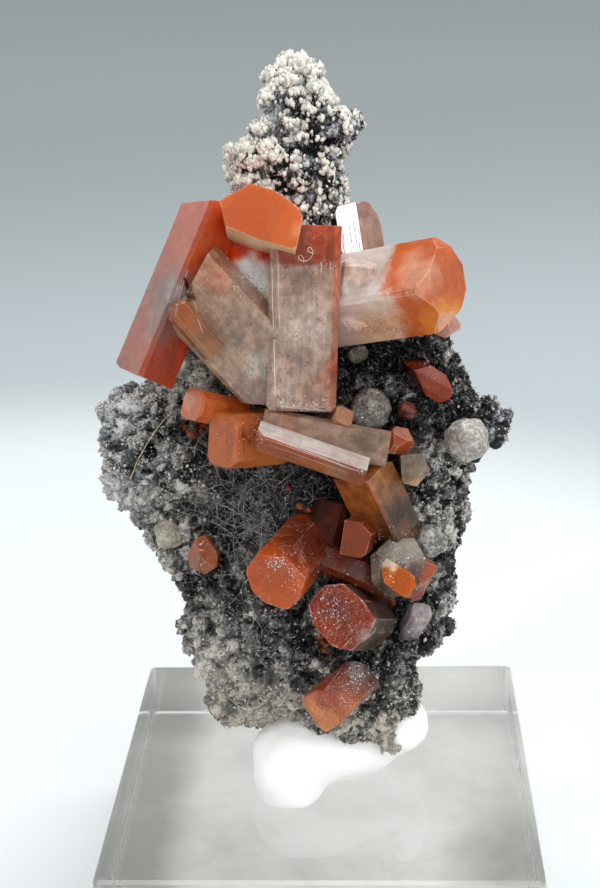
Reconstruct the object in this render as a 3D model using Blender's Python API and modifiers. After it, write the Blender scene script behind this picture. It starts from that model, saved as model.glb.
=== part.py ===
"""Topaz on matrix: orange topaz crystals on a dark rock, stood in putty on a clear acrylic block.

Metres, +Z up. The origin is the centre of the block's underside, and the crystals face -Y.
The rock, its crystals and its quartz balls are laid out in millimetres in the specimen's own frame: x to the
right, y away from the viewer, z up the rock. That frame stands on the block's top and leans back by LEAN.
"""

import math
from dataclasses import dataclass, field

import bmesh
import bpy
from mathutils import Matrix, Vector, noise

MM = 0.001

# The acrylic block
BLOCK_SIDE = 32.0
BLOCK_HEIGHT = 12.0
BLOCK_EDGE = 0.5

# The specimen's frame: where it stands on the block, and how far it leans back
FOOT = Vector((1.5, -4.5, BLOCK_HEIGHT))
LEAN = math.radians(12.0)

# Clearance between pieces that touch
GAP = 0.18
PUTTY_GAP = 0.3

# The rock
ROCK_FRONT = -2.6
ROCK_BACK = 3.4
ROCK_ROUNDING = 1.0
ROCK_INSET = 0.25
ROCK_VOXEL = 0.5
ROCK_TRIANGLES = 4700
ROCK_OUTLINE = [
    (-14.5, 31.2), (-16.8, 30.8), (-17.7, 29.0), (-17.8, 26.2), (-16.9, 24.3), (-14.9, 21.6),
    (-13.0, 18.0), (-11.6, 15.1), (-11.8, 12.6), (-9.8, 8.9), (-7.8, 6.3), (-3.1, 5.6),
    (-0.6, 4.6), (2.6, 3.7), (4.2, 3.4), (4.7, 4.1), (4.4, 5.8), (5.7, 7.0), (5.6, 10.0),
    (8.0, 12.2), (9.1, 15.8), (8.2, 18.1), (9.3, 20.3), (9.5, 22.9), (10.1, 24.6), (9.6, 25.5),
    (12.7, 27.2), (12.4, 28.7), (10.6, 30.4), (9.5, 33.0), (8.0, 34.6), (4.5, 36.5),
    (2.5, 40.5), (1.0, 44.5), (0.9, 47.5), (1.7, 49.0), (2.6, 50.2), (2.3, 51.3), (1.1, 51.5),
    (0.3, 52.2), (-0.3, 53.5), (-1.4, 54.5), (-2.4, 54.9), (-3.9, 54.8), (-5.1, 53.8),
    (-5.2, 52.4), (-4.9, 50.5), (-6.2, 49.4), (-7.8, 48.6), (-7.6, 46.5), (-7.7, 43.8),
    (-8.5, 40.5), (-10.5, 36.5), (-12.5, 33.0),
]
# Swellings of the rock: centre x, y, z and radius along x, y, z
ROCK_SWELLINGS = [
    (-3.0, 1.5, 24.0, 10.5, 6.5, 10.0),
    (-10.5, 0.8, 25.5, 6.0, 4.6, 5.5),
    (-14.2, -0.2, 28.0, 3.2, 2.9, 2.7),
    (-2.5, 1.0, 14.5, 8.6, 5.8, 9.0),
    (-6.8, 1.8, 9.0, 3.4, 4.6, 4.2),
    (1.8, 0.6, 8.2, 3.8, 4.6, 4.6),
    (3.2, -1.4, 11.8, 2.4, 3.6, 2.4),
    (5.6, 1.6, 15.0, 3.4, 4.2, 4.4),
    (5.0, 0.6, 22.5, 4.8, 5.2, 5.4),
    (6.0, 0.2, 30.4, 4.0, 4.2, 4.2),
    (9.8, -0.2, 28.2, 2.8, 2.6, 2.4),
    (-3.2, 1.2, 36.5, 5.6, 4.4, 7.0),
    (-3.4, 0.6, 45.6, 3.9, 3.4, 3.8),
    (-5.8, 0.0, 47.4, 2.0, 2.2, 1.7),
    (-2.3, 0.3, 50.2, 2.8, 2.6, 3.4),
    (-2.7, 0.2, 53.0, 2.4, 2.3, 1.9),
    (1.6, 0.4, 50.3, 1.1, 1.3, 1.2),
]
# Pits pressed back into the rock's front: centre x, y, z and radius along x, y, z
ROCK_PITS = [
    (4.6, -6.2, 33.0, 3.4, 4.2, 2.8),
    (-3.4, -8.2, 24.2, 4.8, 3.6, 2.6),
    (1.2, -7.6, 18.6, 2.6, 3.4, 2.0),
    (6.8, -6.4, 17.6, 1.8, 3.6, 1.6),
    (-9.6, -6.4, 26.4, 1.8, 2.8, 3.2),
    (3.4, -5.8, 14.0, 1.4, 2.6, 1.8),
    (-2.6, -4.6, 47.4, 1.2, 1.8, 1.0),
]
# Roughness of the rock: grain size and height of each layer
ROCK_ROUGHNESS = [(4.2, 0.75), (1.9, 0.55), (0.9, 0.30)]

# The putty: swellings that make it up, as for the rock, and its flat foot, in the block's frame
PUTTY_SWELLINGS = [
    (-2.5, -4.9, 13.6, 2.6, 2.4, 3.6),
    (-1.2, -3.4, 15.2, 4.1, 3.2, 2.6),
    (1.6, -2.6, 15.0, 4.2, 2.8, 2.3),
    (5.6, -1.4, 16.2, 2.7, 2.4, 2.2),
    (1.2, -0.9, 13.8, 4.2, 2.6, 2.8),
]
PUTTY_VOXEL = 0.55
PUTTY_TRIANGLES = 500

VIEWER = Vector((0.0, -1.0, 0.0))
UP = Vector((0.0, 0.0, 1.0))


@dataclass
class Crystal:
    """A prism from root to tip. Its section is wide by deep with its corners cut, or an outline of its own.

    Seen from the front, the section's x runs to the right. Its y runs away from the viewer or, on a crystal that
    points at the viewer (faces_viewer), up. turn rolls the section about the axis. A facet is
    (azimuth, tilt, reach): a plane whose normal leans by tilt from the axis towards azimuth, and which meets the
    end face at that share of the section's reach that way.
    """

    name: str
    tip: tuple
    root: tuple
    wide: float = 0.0
    deep: float = 0.0
    cut: float = 0.3
    turn: float = 0.0
    outline: list = field(default_factory=list)
    faces_viewer: bool = False
    tip_facets: list = field(default_factory=list)
    root_facets: list = field(default_factory=list)

    def section(self):
        """The corners of the section, in order round it."""
        if self.outline:
            return [Vector(corner) for corner in self.outline]
        x, y, c = self.wide / 2, self.deep / 2, self.cut
        return [Vector(corner) for corner in (
            (x, -y + c), (x, y - c), (x - c, y), (-x + c, y),
            (-x, y - c), (-x, -y + c), (-x + c, -y), (x - c, -y))]

    def frame(self):
        """The matrix of the crystal's own frame: origin at its root, z towards its tip."""
        axis = (Vector(self.tip) - Vector(self.root)).normalized()
        guide = UP if self.faces_viewer else -VIEWER
        across = guide.cross(axis).normalized()
        turned = Matrix((across, axis.cross(across), axis)).transposed()
        turned = turned @ Matrix.Rotation(math.radians(self.turn), 3, "Z")
        return Matrix.Translation(self.root) @ turned.to_4x4()


EDGE = [(0, 45, 0.86), (90, 45, 0.86), (180, 45, 0.86), (270, 45, 0.86)]
PYRAMID = [(45, 40, 0.35), (135, 40, 0.35), (225, 40, 0.35), (315, 40, 0.35)]
ROOF = [(0, 38, 0.15), (180, 38, 0.15)]

CRYSTAL_GROUPS = {
    "upper_topaz_cluster": [
        Crystal("left_prism", (-7.8, -4.9, 45.1), (-13.1, -7.2, 32.8), 3.3, 3.2, 0.25, 45,
                tip_facets=[(135, 20, -0.85)], root_facets=[(135, 30, 0.8)]),
        Crystal("top_facing", (-4.4, -10.4, 43.8), (-3.6, -2.6, 42.6), faces_viewer=True,
                outline=[(-2.75, 1.0), (-0.7, 2.1), (0.9, 1.6), (2.4, 0.5), (2.7, -0.3), (2.2, -2.35),
                         (-0.3, -1.6), (-2.4, -0.7)]),
        Crystal("centre_prism", (-1.7, -6.2, 43.0), (-2.3, -6.7, 30.4), 4.8, 4.4, 0.5, 4, root_facets=EDGE),
        Crystal("slanted_prism", (-10.1, -7.0, 39.7), (-3.0, -6.4, 31.8), 5.6, 3.6, 0.4, -12,
                tip_facets=[(192, 18, -0.8)], root_facets=[(192, 45, 0.45)]),
        Crystal("side_blade", (-10.5, -9.5, 37.8), (-8.0, -8.5, 34.6), 1.5, 1.7, 0.25, 20,
                tip_facets=[(180, 45, 0.3), (0, 30, 0.7)]),
        Crystal("back_prism", (-6.9, -3.4, 44.5), (-5.2, -4.2, 35.6), 5.0, 3.2, 0.4, -20,
                tip_facets=[(180, 30, 0.2), (0, 35, 0.7)]),
        Crystal("glinting_prism", (1.7, -2.0, 44.4), (2.8, -2.8, 36.5), 2.4, 2.3, 0.15, 35,
                tip_facets=[(0, 50, 0.0), (90, 40, 0.6)]),
        Crystal("right_prism", (1.9, -5.1, 40.7), (1.3, -5.2, 35.6), 2.4, 2.8, 0.3, -8, tip_facets=EDGE),
        Crystal("right_barrel", (7.9, -8.2, 39.0), (0.2, -3.4, 37.6), 5.2, 4.5, 0.3, -50,
                tip_facets=[(45, 42, 0.6), (135, 38, 0.75), (315, 35, 0.7), (225, 40, 0.75)]),
        Crystal("barrel_twin", (8.6, -5.2, 35.6), (5.5, -3.6, 36.8), 1.3, 1.6, 0.2, 20, tip_facets=ROOF),
    ],
    "middle_topaz_cluster": [
        Crystal("knob", (-9.7, -7.9, 31.0), (-6.8, -4.4, 29.8), 2.2, 2.1, 0.5, 10, tip_facets=EDGE),
        Crystal("block", (-7.7, -8.3, 28.5), (-4.0, -4.2, 28.2), 3.8, 2.9, 0.6, 0,
                tip_facets=[(0, 45, 0.88), (90, 45, 0.88), (180, 45, 0.88), (270, 45, 0.88)]),
        Crystal("long_blade", (-5.2, -9.2, 29.0), (2.2, -9.0, 26.3), 1.5, 1.6, 0.12, 53,
                tip_facets=[(180, 35, 0.3)]),
        Crystal("pink_prism", (-5.0, -7.4, 29.3), (3.6, -6.6, 27.4), 2.5, 3.0, 0.35, 15, tip_facets=EDGE),
        Crystal("amber_cube", (0.8, -8.0, 30.1), (-0.6, -5.6, 28.6), 1.4, 1.3, 0.2, 20, tip_facets=EDGE),
    ],
    "lower_topaz_cluster": [
        Crystal("amber_prism", (1.9, -7.0, 26.3), (4.8, -5.8, 19.8), 3.0, 3.4, 0.2, 48,
                tip_facets=[(0, 30, 0.4)], root_facets=[(318, 45, 0.55), (138, 45, 0.8)]),
        Crystal("brown_prism", (-1.2, -6.2, 19.6), (-0.2, -4.6, 23.2), 2.4, 2.2, 0.4, 10, tip_facets=EDGE),
        Crystal("small_facing", (1.4, -9.2, 21.7), (2.1, -4.6, 21.2), faces_viewer=True,
                outline=[(-0.7, 1.3), (0.45, 1.1), (1.15, 0.3), (0.75, -1.1), (0.4, -1.35), (-1.05, -1.05)]),
        Crystal("big_facing", (-4.1, -10.5, 19.0), (-1.5, -3.6, 20.9), faces_viewer=True,
                outline=[(-2.1, 0.7), (-1.0, 2.1), (0.9, 1.9), (2.2, 0.3), (1.7, -1.2), (0.7, -2.1),
                         (-0.9, -1.7), (-1.8, -0.8)], tip_facets=[(30, 35, 0.7)]),
        Crystal("red_bar", (-1.2, -6.6, 19.9), (4.2, -6.2, 17.4), 2.0, 2.2, 0.35, 25),
        Crystal("clear_facing", (4.4, -8.0, 19.3), (4.9, -3.6, 18.2), faces_viewer=True,
                outline=[(-1.9, 1.9), (-0.6, 2.4), (0.8, 2.3), (1.4, 1.0), (2.3, -0.3), (0.6, -2.1),
                         (-0.7, -2.3), (-1.6, -1.3), (-2.0, 0.3)],
                tip_facets=[(80, 35, 0.5), (270, 35, 0.6), (350, 30, 0.7)]),
        Crystal("bright_facing", (4.3, -9.3, 19.0), (4.8, -5.0, 17.8), faces_viewer=True,
                outline=[(-1.3, 1.6), (0.8, 0.4), (1.15, 0.1), (1.2, -0.6), (0.6, -1.35), (0.1, -1.2),
                         (-0.95, -0.4), (-1.25, 0.9)], tip_facets=[(140, 35, 0.3)]),
    ],
    "speckled_topaz": [
        Crystal("speckled_facing", (0.3, -10.0, 16.4), (1.9, -3.4, 14.6), faces_viewer=True,
                outline=[(-2.3, 0.7), (-1.3, 2.1), (0.1, 2.3), (1.6, 1.2), (2.5, 0.0), (2.2, -0.9), (0.9, -2.25),
                         (-0.5, -2.0), (-1.9, -0.5)], tip_facets=[(320, 30, 0.7)]),
    ],
    "bottom_topaz": [
        Crystal("bottom_prism", (-1.2, -8.2, 9.1), (1.9, -3.6, 10.9), 3.0, 2.4, 0.35, 12,
                tip_facets=[(90, 45, 0.85), (270, 45, 0.85), (0, 30, 0.8)]),
    ],
    "left_topaz": [
        Crystal("left_point", (-9.4, -7.6, 20.2), (-9.5, -2.6, 19.3), faces_viewer=True,
                outline=[(-1.1, 0.0), (-0.3, 1.3), (0.2, 1.5), (1.1, 0.1), (1.0, -0.8), (0.2, -1.3), (-0.9, -0.8)],
                tip_facets=[(200, 48, 0.1), (20, 40, 0.0), (280, 45, 0.2)]),
    ],
    "right_topaz": [
        Crystal("right_point", (6.9, -5.8, 31.9), (6.1, -1.6, 32.2), faces_viewer=True,
                outline=[(-1.3, 1.05), (0.1, 1.2), (1.1, 0.5), (1.5, -0.5), (1.3, -1.1), (0.5, -1.4), (-0.4, -0.8)],
                tip_facets=[(60, 40, 0.3), (240, 35, 0.5)]),
    ],
    "orange_crumb": [
        Crystal("orange_point", (4.5, -7.4, 28.2), (4.2, -3.4, 27.8), faces_viewer=True,
                outline=[(-1.1, 0.0), (-0.2, 1.0), (0.7, 0.8), (1.1, -0.2), (0.5, -1.0), (-0.7, -0.9)],
                tip_facets=[(60, 40, 0.3), (180, 40, 0.3), (300, 40, 0.3)]),
    ],
    "grey_topaz": [
        Crystal("grey_stub", (5.6, -7.7, 26.2), (5.3, -3.2, 26.0), faces_viewer=True,
                outline=[(-1.0, 1.0), (0.5, 1.1), (1.1, -0.1), (0.1, -1.2), (-0.9, -0.9)],
                tip_facets=[(330, 30, 0.5)]),
    ],
    "lilac_topaz": [
        Crystal("lilac_sliver", (6.6, -5.3, 15.2), (4.4, -3.2, 13.5), 1.1, 1.2, 0.2, 20, tip_facets=EDGE),
    ],
}

# Balls of quartz grains and a bead of topaz, sunk into the rock: centre x, y, z, radius
BALLS = {
    "quartz_ball_middle": (2.6, -5.7, 30.1, 1.5),
    "quartz_ball_upper": (1.8, -4.6, 33.9, 0.7),
    "topaz_bead": (5.1, -4.9, 30.0, 0.7),
    "quartz_ball_right": (9.3, -3.7, 27.7, 1.6),
    "quartz_ball_lower": (6.8, -5.0, 20.6, 1.15),
    "quartz_ball_left": (-12.4, -2.6, 20.7, 1.1),
}
BALL_ROUGHNESS = 0.13


def collection(name):
    """A new collection of that name in the scene."""
    made = bpy.data.collections.new(name)
    bpy.context.scene.collection.children.link(made)
    return made


def material(name, colour, roughness):
    """A plain material: its colour and roughness on a Principled BSDF."""
    made = bpy.data.materials.new(name)
    made.use_nodes = True
    shader = made.node_tree.nodes["Principled BSDF"]
    shader.inputs["Base Color"].default_value = (*colour, 1.0)
    shader.inputs["Roughness"].default_value = roughness
    made.diffuse_color = (*colour, 1.0)
    return made


def mesh_object(name, bm, group, finish=None):
    """A mesh object from a bmesh in millimetres, stored in metres."""
    bmesh.ops.recalc_face_normals(bm, faces=bm.faces)
    bmesh.ops.scale(bm, vec=(MM, MM, MM), verts=bm.verts)
    mesh = bpy.data.meshes.new(name)
    bm.to_mesh(mesh)
    bm.free()
    if finish:
        mesh.materials.append(finish)
    made = bpy.data.objects.new(name, mesh)
    group.objects.link(made)
    return made


def hide_cutter(piece):
    """Marks a cutter or guide, which is no piece of the object."""
    piece.hide_render = True
    piece.display_type = "WIRE"


def slice_off(bm, point, normal):
    """Cuts away what lies beyond a plane and closes the cut."""
    everything = bm.verts[:] + bm.edges[:] + bm.faces[:]
    cut = bmesh.ops.bisect_plane(bm, geom=everything, plane_co=point, plane_no=normal, clear_outer=True)
    rim = [part for part in cut["geom_cut"] if isinstance(part, bmesh.types.BMEdge)]
    if rim:
        bmesh.ops.contextual_create(bm, geom=rim)


def crystal_bmesh(crystal, grow=0.0):
    """The crystal in its own frame, in millimetres: a box sliced to its section and its facets, grown all round."""
    section = crystal.section()
    length = (Vector(crystal.tip) - Vector(crystal.root)).length
    reach = max(corner.length for corner in section)
    bm = bmesh.new()
    bmesh.ops.create_cube(bm, size=1.0)
    bmesh.ops.scale(bm, vec=(3 * reach, 3 * reach, length), verts=bm.verts)
    bmesh.ops.translate(bm, vec=(0, 0, length / 2), verts=bm.verts)
    for corner, following in zip(section, section[1:] + section[:1]):
        along = following - corner
        outward = Vector((along.y, -along.x)).normalized()
        if outward.dot(corner) < 0:
            outward.negate()
        slice_off(bm, corner.to_3d(), outward.to_3d())
    for facets, end, direction in ((crystal.tip_facets, length, 1), (crystal.root_facets, 0.0, -1)):
        for azimuth, tilt, share in facets:
            spin, lean = math.radians(azimuth), math.radians(tilt)
            away = Vector((math.cos(spin), math.sin(spin)))
            meets = away * max(corner.dot(away) for corner in section) * share
            normal = (away * math.sin(lean)).to_3d() + Vector((0, 0, direction * math.cos(lean)))
            slice_off(bm, Vector((*meets, end)), normal)
    if grow:
        sizes = [max(v.co[i] for v in bm.verts) - min(v.co[i] for v in bm.verts) for i in range(3)]
        middle = [sum((max(v.co[i] for v in bm.verts), min(v.co[i] for v in bm.verts))) / 2 for i in range(3)]
        larger = Matrix.Diagonal([(size + 2 * grow) / size for size in sizes]).to_4x4()
        bmesh.ops.transform(bm, matrix=larger, space=Matrix.Translation(-Vector(middle)), verts=bm.verts)
    return bm


def crystal_object(crystal, name, group, specimen, finish=None, grow=0.0):
    """A crystal, placed in the specimen's frame."""
    made = mesh_object(name, crystal_bmesh(crystal, grow), group, finish)
    place = crystal.frame()
    place.translation *= MM
    made.parent = specimen
    made.matrix_basis = place
    return made


def boolean(piece, operation, operand):
    """Adds a Boolean modifier whose operand is an object or a collection."""
    modifier = piece.modifiers.new(operation.title(), "BOOLEAN")
    modifier.operation = operation
    if isinstance(operand, bpy.types.Collection):
        modifier.operand_type = "COLLECTION"
        modifier.collection = operand
    else:
        modifier.object = operand


def settled(piece):
    """The piece with its modifiers applied."""
    graph = bpy.context.evaluated_depsgraph_get()
    mesh = bpy.data.meshes.new_from_object(piece.evaluated_get(graph))
    piece.modifiers.clear()
    piece.data = mesh
    return piece


def keep_largest(piece):
    """Drops the crumbs that a cut has freed from the piece."""
    bm = bmesh.new()
    bm.from_mesh(piece.data)
    waiting, islands = set(bm.verts), []
    while waiting:
        island, edge_of = set(), [waiting.pop()]
        while edge_of:
            vert = edge_of.pop()
            island.add(vert)
            for edge in vert.link_edges:
                other = edge.other_vert(vert)
                if other in waiting:
                    waiting.remove(other)
                    edge_of.append(other)
        islands.append(island)
    largest = max(islands, key=len)
    bmesh.ops.delete(bm, geom=[vert for vert in bm.verts if vert not in largest], context="VERTS")
    bm.to_mesh(piece.data)
    bm.free()


def swelling(bm, centre, radii, subdivisions=3):
    """Adds an ellipsoid to the mesh."""
    ball = bmesh.ops.create_icosphere(bm, subdivisions=subdivisions, radius=1.0)
    bmesh.ops.scale(bm, vec=radii, verts=ball["verts"])
    bmesh.ops.translate(bm, vec=centre, verts=ball["verts"])


def fuse_swellings(piece, voxel):
    """Makes overlapping shells in one mesh a single even skin."""
    remesh = piece.modifiers.new("Fuse", "REMESH")
    remesh.mode = "VOXEL"
    remesh.voxel_size = voxel * MM
    return settled(piece)


def thin_out(piece, triangles):
    """Reduces the piece to about that many triangles."""
    present = sum(len(polygon.vertices) - 2 for polygon in piece.data.polygons)
    decimate = piece.modifiers.new("Thin out", "DECIMATE")
    decimate.ratio = min(1.0, triangles / present)
    decimate.use_collapse_triangulate = True
    return settled(piece)


def press_pits(piece, pits):
    """Presses the front of the piece back to the far wall of each pit."""
    for vert in piece.data.vertices:
        for x, y, z, *radii in pits:
            offset = (vert.co / MM - Vector((x, y, z)))
            share = (offset.x / radii[0]) ** 2 + (offset.z / radii[2]) ** 2
            if vert.co.y < 0 and share < 1:
                wall = y + radii[1] * math.sqrt(1 - share)
                vert.co.y = max(vert.co.y, wall * MM)
    piece.data.update()


def roughen(piece, layers, seed):
    """Pushes the surface in and out by layers of noise."""
    mesh = piece.data
    heights = []
    for vert in mesh.vertices:
        point = vert.co / MM
        heights.append(sum(
            height * noise.noise(point / grain + Vector((seed, 7 * level, 0))) for level, (grain, height)
            in enumerate(layers)))
    normals = [vert.normal.copy() for vert in mesh.vertices]
    for vert, normal, height in zip(mesh.vertices, normals, heights):
        vert.co += normal * height * MM
    mesh.update()


def make_slab(specimen, group):
    """The rock's outline as a slab with rounded rims, in the specimen's frame."""
    outline = bpy.data.curves.new("rock_outline", "CURVE")
    outline.dimensions = "2D"
    outline.fill_mode = "BOTH"
    outline.extrude = (ROCK_BACK - ROCK_FRONT - 2 * ROCK_ROUNDING) / 2 * MM
    outline.bevel_depth = ROCK_ROUNDING * MM
    outline.bevel_resolution = 1
    outline.offset = -(ROCK_ROUNDING + ROCK_INSET) * MM
    spline = outline.splines.new("POLY")
    spline.points.add(len(ROCK_OUTLINE) - 1)
    for point, (x, z) in zip(spline.points, ROCK_OUTLINE):
        point.co = (x * MM, z * MM, 0.0, 1.0)
    spline.use_cyclic_u = True
    drawn = bpy.data.objects.new("rock_outline", outline)
    group.objects.link(drawn)
    drawn.matrix_basis = Matrix.Rotation(math.radians(90), 4, "X")
    drawn.location.y = (ROCK_BACK + ROCK_FRONT) / 2 * MM
    bpy.context.view_layer.update()
    graph = bpy.context.evaluated_depsgraph_get()
    mesh = bpy.data.meshes.new_from_object(drawn.evaluated_get(graph))
    mesh.transform(drawn.matrix_world)
    bpy.data.objects.remove(drawn)
    bm = bmesh.new()
    bm.from_mesh(mesh)
    bmesh.ops.remove_doubles(bm, verts=bm.verts, dist=0.01 * MM)
    return bm


def make_rock(specimen, group, finish, sockets):
    """The matrix: slab and swellings fused, roughened, thinned out and socketed for what grows in it."""
    bm = make_slab(specimen, group)
    bmesh.ops.scale(bm, vec=(1 / MM, 1 / MM, 1 / MM), verts=bm.verts)
    for x, y, z, *radii in ROCK_SWELLINGS:
        swelling(bm, (x, y, z), radii)
    rock = mesh_object("matrix_rock", bm, group, finish)
    rock.parent = specimen
    fuse_swellings(rock, ROCK_VOXEL)
    press_pits(rock, ROCK_PITS)
    roughen(rock, ROCK_ROUGHNESS, seed=3)
    thin_out(rock, ROCK_TRIANGLES)
    for taken in sockets:
        boolean(rock, "DIFFERENCE", taken)
    settled(rock)
    keep_largest(rock)


def make_ball(name, specimen, group, finish, sockets, grow=0.0):
    """A knobbly sphere, cut where a crystal stands in it."""
    x, y, z, radius = BALLS[name]
    bm = bmesh.new()
    swelling(bm, (0, 0, 0), [radius] * 3, subdivisions=2 if radius < 1.2 else 3)
    ball = mesh_object(name + ("_socket" if grow else ""), bm, group, finish)
    roughen(ball, [(0.5 * radius, BALL_ROUGHNESS * radius)], seed=len(name))
    if grow:
        ball.scale = [1 + grow / radius] * 3
    else:
        for taken in sockets:
            boolean(ball, "DIFFERENCE", taken)
    ball.parent = specimen
    ball.location = Vector((x, y, z)) * MM
    return ball


def make_putty(name, group, finish, grow=0.0):
    """The lump of putty, pressed flat on the block."""
    bm = bmesh.new()
    for x, y, z, *radii in PUTTY_SWELLINGS:
        swelling(bm, (x, y, z), [radius + grow for radius in radii])
    putty = mesh_object(name, bm, group, finish)
    fuse_swellings(putty, PUTTY_VOXEL)
    smooth = putty.modifiers.new("Smooth", "SMOOTH")
    smooth.iterations = 6
    settled(putty)
    thin_out(putty, PUTTY_TRIANGLES)
    bm = bmesh.new()
    bm.from_mesh(putty.data)
    slice_off(bm, Vector((0, 0, BLOCK_HEIGHT + GAP)) * MM, Vector((0, 0, -1)))
    bm.to_mesh(putty.data)
    bm.free()
    return putty


def make_block(group, finish):
    """The clear block, its edges eased."""
    bm = bmesh.new()
    bmesh.ops.create_cube(bm, size=1.0)
    bmesh.ops.scale(bm, vec=(BLOCK_SIDE, BLOCK_SIDE, BLOCK_HEIGHT), verts=bm.verts)
    bmesh.ops.translate(bm, vec=(0, 0, BLOCK_HEIGHT / 2), verts=bm.verts)
    block = mesh_object("acrylic_block", bm, group, finish)
    bevel = block.modifiers.new("Ease edges", "BEVEL")
    bevel.width = BLOCK_EDGE * MM
    bevel.segments = 2
    return block


def make_crystal_group(name, members, group, cutters, sockets, specimen, finish):
    """Crystals grown together, as one solid, cut back where an earlier group stands.

    A slightly grown copy of each goes into a new set of sockets, which later pieces are cut by.
    """
    whole = crystal_object(members[0], name, group, specimen, finish)
    for member in members[1:]:
        joined = crystal_object(member, member.name, cutters, specimen)
        hide_cutter(joined)
        boolean(whole, "UNION", joined)
    for taken in sockets:
        boolean(whole, "DIFFERENCE", taken)
    bpy.context.view_layer.update()
    settled(whole)
    keep_largest(whole)
    own = collection(name + "_sockets")
    for member in members:
        hide_cutter(crystal_object(member, member.name + "_socket", own, specimen, grow=GAP))
    sockets.append(own)


def main():
    for old in list(bpy.data.objects):
        bpy.data.objects.remove(old)
    part = collection("topaz_on_matrix")
    cutters = collection("cutters")
    other_sockets = collection("other_sockets")
    sockets = []

    orange = material("topaz_orange", (0.72, 0.20, 0.06), 0.12)
    rock_grey = material("rock", (0.16, 0.16, 0.17), 0.9)
    quartz = material("quartz", (0.62, 0.58, 0.54), 0.5)
    white = material("putty", (0.92, 0.91, 0.88), 0.6)
    clear = material("acrylic", (0.86, 0.89, 0.89), 0.05)

    specimen = bpy.data.objects.new("specimen", None)
    part.objects.link(specimen)
    specimen.location = FOOT * MM
    specimen.rotation_euler = (-LEAN, 0.0, 0.0)

    for name, members in CRYSTAL_GROUPS.items():
        make_crystal_group(name, members, part, cutters, sockets, specimen, orange)
    for name in BALLS:
        make_ball(name, specimen, part, orange if "topaz" in name else quartz, sockets)
        hide_cutter(make_ball(name, specimen, other_sockets, None, None, grow=GAP))
    make_block(part, clear)
    make_putty("putty", part, white)
    hide_cutter(make_putty("putty_socket", other_sockets, None, grow=PUTTY_GAP))
    sockets.append(other_sockets)
    bpy.context.view_layer.update()
    make_rock(specimen, part, rock_grey, sockets)


main()
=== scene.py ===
"""Looks of the topaz on matrix: crystals, rock, quartz balls, putty and block, with camera, light and floor.

Millimetres in the tables and shaders, metres in the meshes. The rock and all that grows on it are laid out
in the specimen's frame, which stands on the block and leans back: x right, y away from the viewer, z up.
"""
import math
import random
from dataclasses import dataclass, field

import bmesh
import bpy
import numpy as np
from mathutils import Matrix, Vector, noise
from mathutils.bvhtree import BVHTree


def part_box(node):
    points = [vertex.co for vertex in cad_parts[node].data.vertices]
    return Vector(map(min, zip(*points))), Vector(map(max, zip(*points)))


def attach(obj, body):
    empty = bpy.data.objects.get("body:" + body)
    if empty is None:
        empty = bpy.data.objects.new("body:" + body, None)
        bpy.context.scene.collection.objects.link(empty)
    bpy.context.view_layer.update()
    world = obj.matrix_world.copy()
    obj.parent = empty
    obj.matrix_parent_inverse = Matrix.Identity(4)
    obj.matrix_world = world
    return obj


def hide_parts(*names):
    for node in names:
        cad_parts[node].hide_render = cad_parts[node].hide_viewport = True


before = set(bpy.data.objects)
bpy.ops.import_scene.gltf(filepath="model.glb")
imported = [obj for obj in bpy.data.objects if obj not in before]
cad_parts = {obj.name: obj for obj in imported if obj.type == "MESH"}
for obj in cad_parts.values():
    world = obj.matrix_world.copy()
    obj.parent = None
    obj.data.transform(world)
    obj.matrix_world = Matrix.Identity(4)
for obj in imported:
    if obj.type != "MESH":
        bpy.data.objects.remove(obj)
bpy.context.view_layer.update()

MM = 0.001
BLOCK_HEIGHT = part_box("acrylic_block")[1].z / MM
FOOT = Vector((1.5, -4.5, BLOCK_HEIGHT))
LEAN = math.radians(12.0)
SPECIMEN = Matrix.Translation(FOOT * MM) @ Matrix.Rotation(-LEAN, 4, "X")

VIEWER = Vector((0.0, -1.0, 0.0))
UP = Vector((0.0, 0.0, 1.0))
BEFORE = -20.0  # a y in front of everything

SKIN_CELL = 0.2
TOPAZ_IOR = 1.62
ACRYLIC_IOR = 1.49


# ---------------------------------------------------------------- crystals: forms

@dataclass
class Crystal:
    """A prism from root to tip. Its section is wide by deep with its corners cut, or an outline of its own.

    A facet is (azimuth, tilt, reach): a plane whose normal leans by tilt from the axis towards azimuth, and
    which meets the end face at that share of the section's reach that way.
    """

    name: str
    tip: tuple
    root: tuple
    wide: float = 0.0
    deep: float = 0.0
    cut: float = 0.3
    turn: float = 0.0
    outline: list = field(default_factory=list)
    faces_viewer: bool = False
    tip_facets: list = field(default_factory=list)
    root_facets: list = field(default_factory=list)

    @property
    def length(self):
        return (Vector(self.tip) - Vector(self.root)).length

    def section(self):
        """The corners of the section, in order round it."""
        if self.outline:
            return [Vector(corner) for corner in self.outline]
        x, y, c = self.wide / 2, self.deep / 2, self.cut
        return [Vector(corner) for corner in (
            (x, -y + c), (x, y - c), (x - c, y), (-x + c, y),
            (-x, y - c), (-x, -y + c), (-x + c, -y), (x - c, -y))]

    @property
    def reach(self):
        return max(corner.length for corner in self.section())

    def frame(self):
        """The matrix of the crystal's own frame: origin at its root, z towards its tip."""
        axis = (Vector(self.tip) - Vector(self.root)).normalized()
        guide = UP if self.faces_viewer else -VIEWER
        across = guide.cross(axis).normalized()
        turned = Matrix((across, axis.cross(across), axis)).transposed()
        turned = turned @ Matrix.Rotation(math.radians(self.turn), 3, "Z")
        return Matrix.Translation(self.root) @ turned.to_4x4()


EDGE = [(0, 45, 0.86), (90, 45, 0.86), (180, 45, 0.86), (270, 45, 0.86)]
ROOF = [(0, 38, 0.15), (180, 38, 0.15)]

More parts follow.
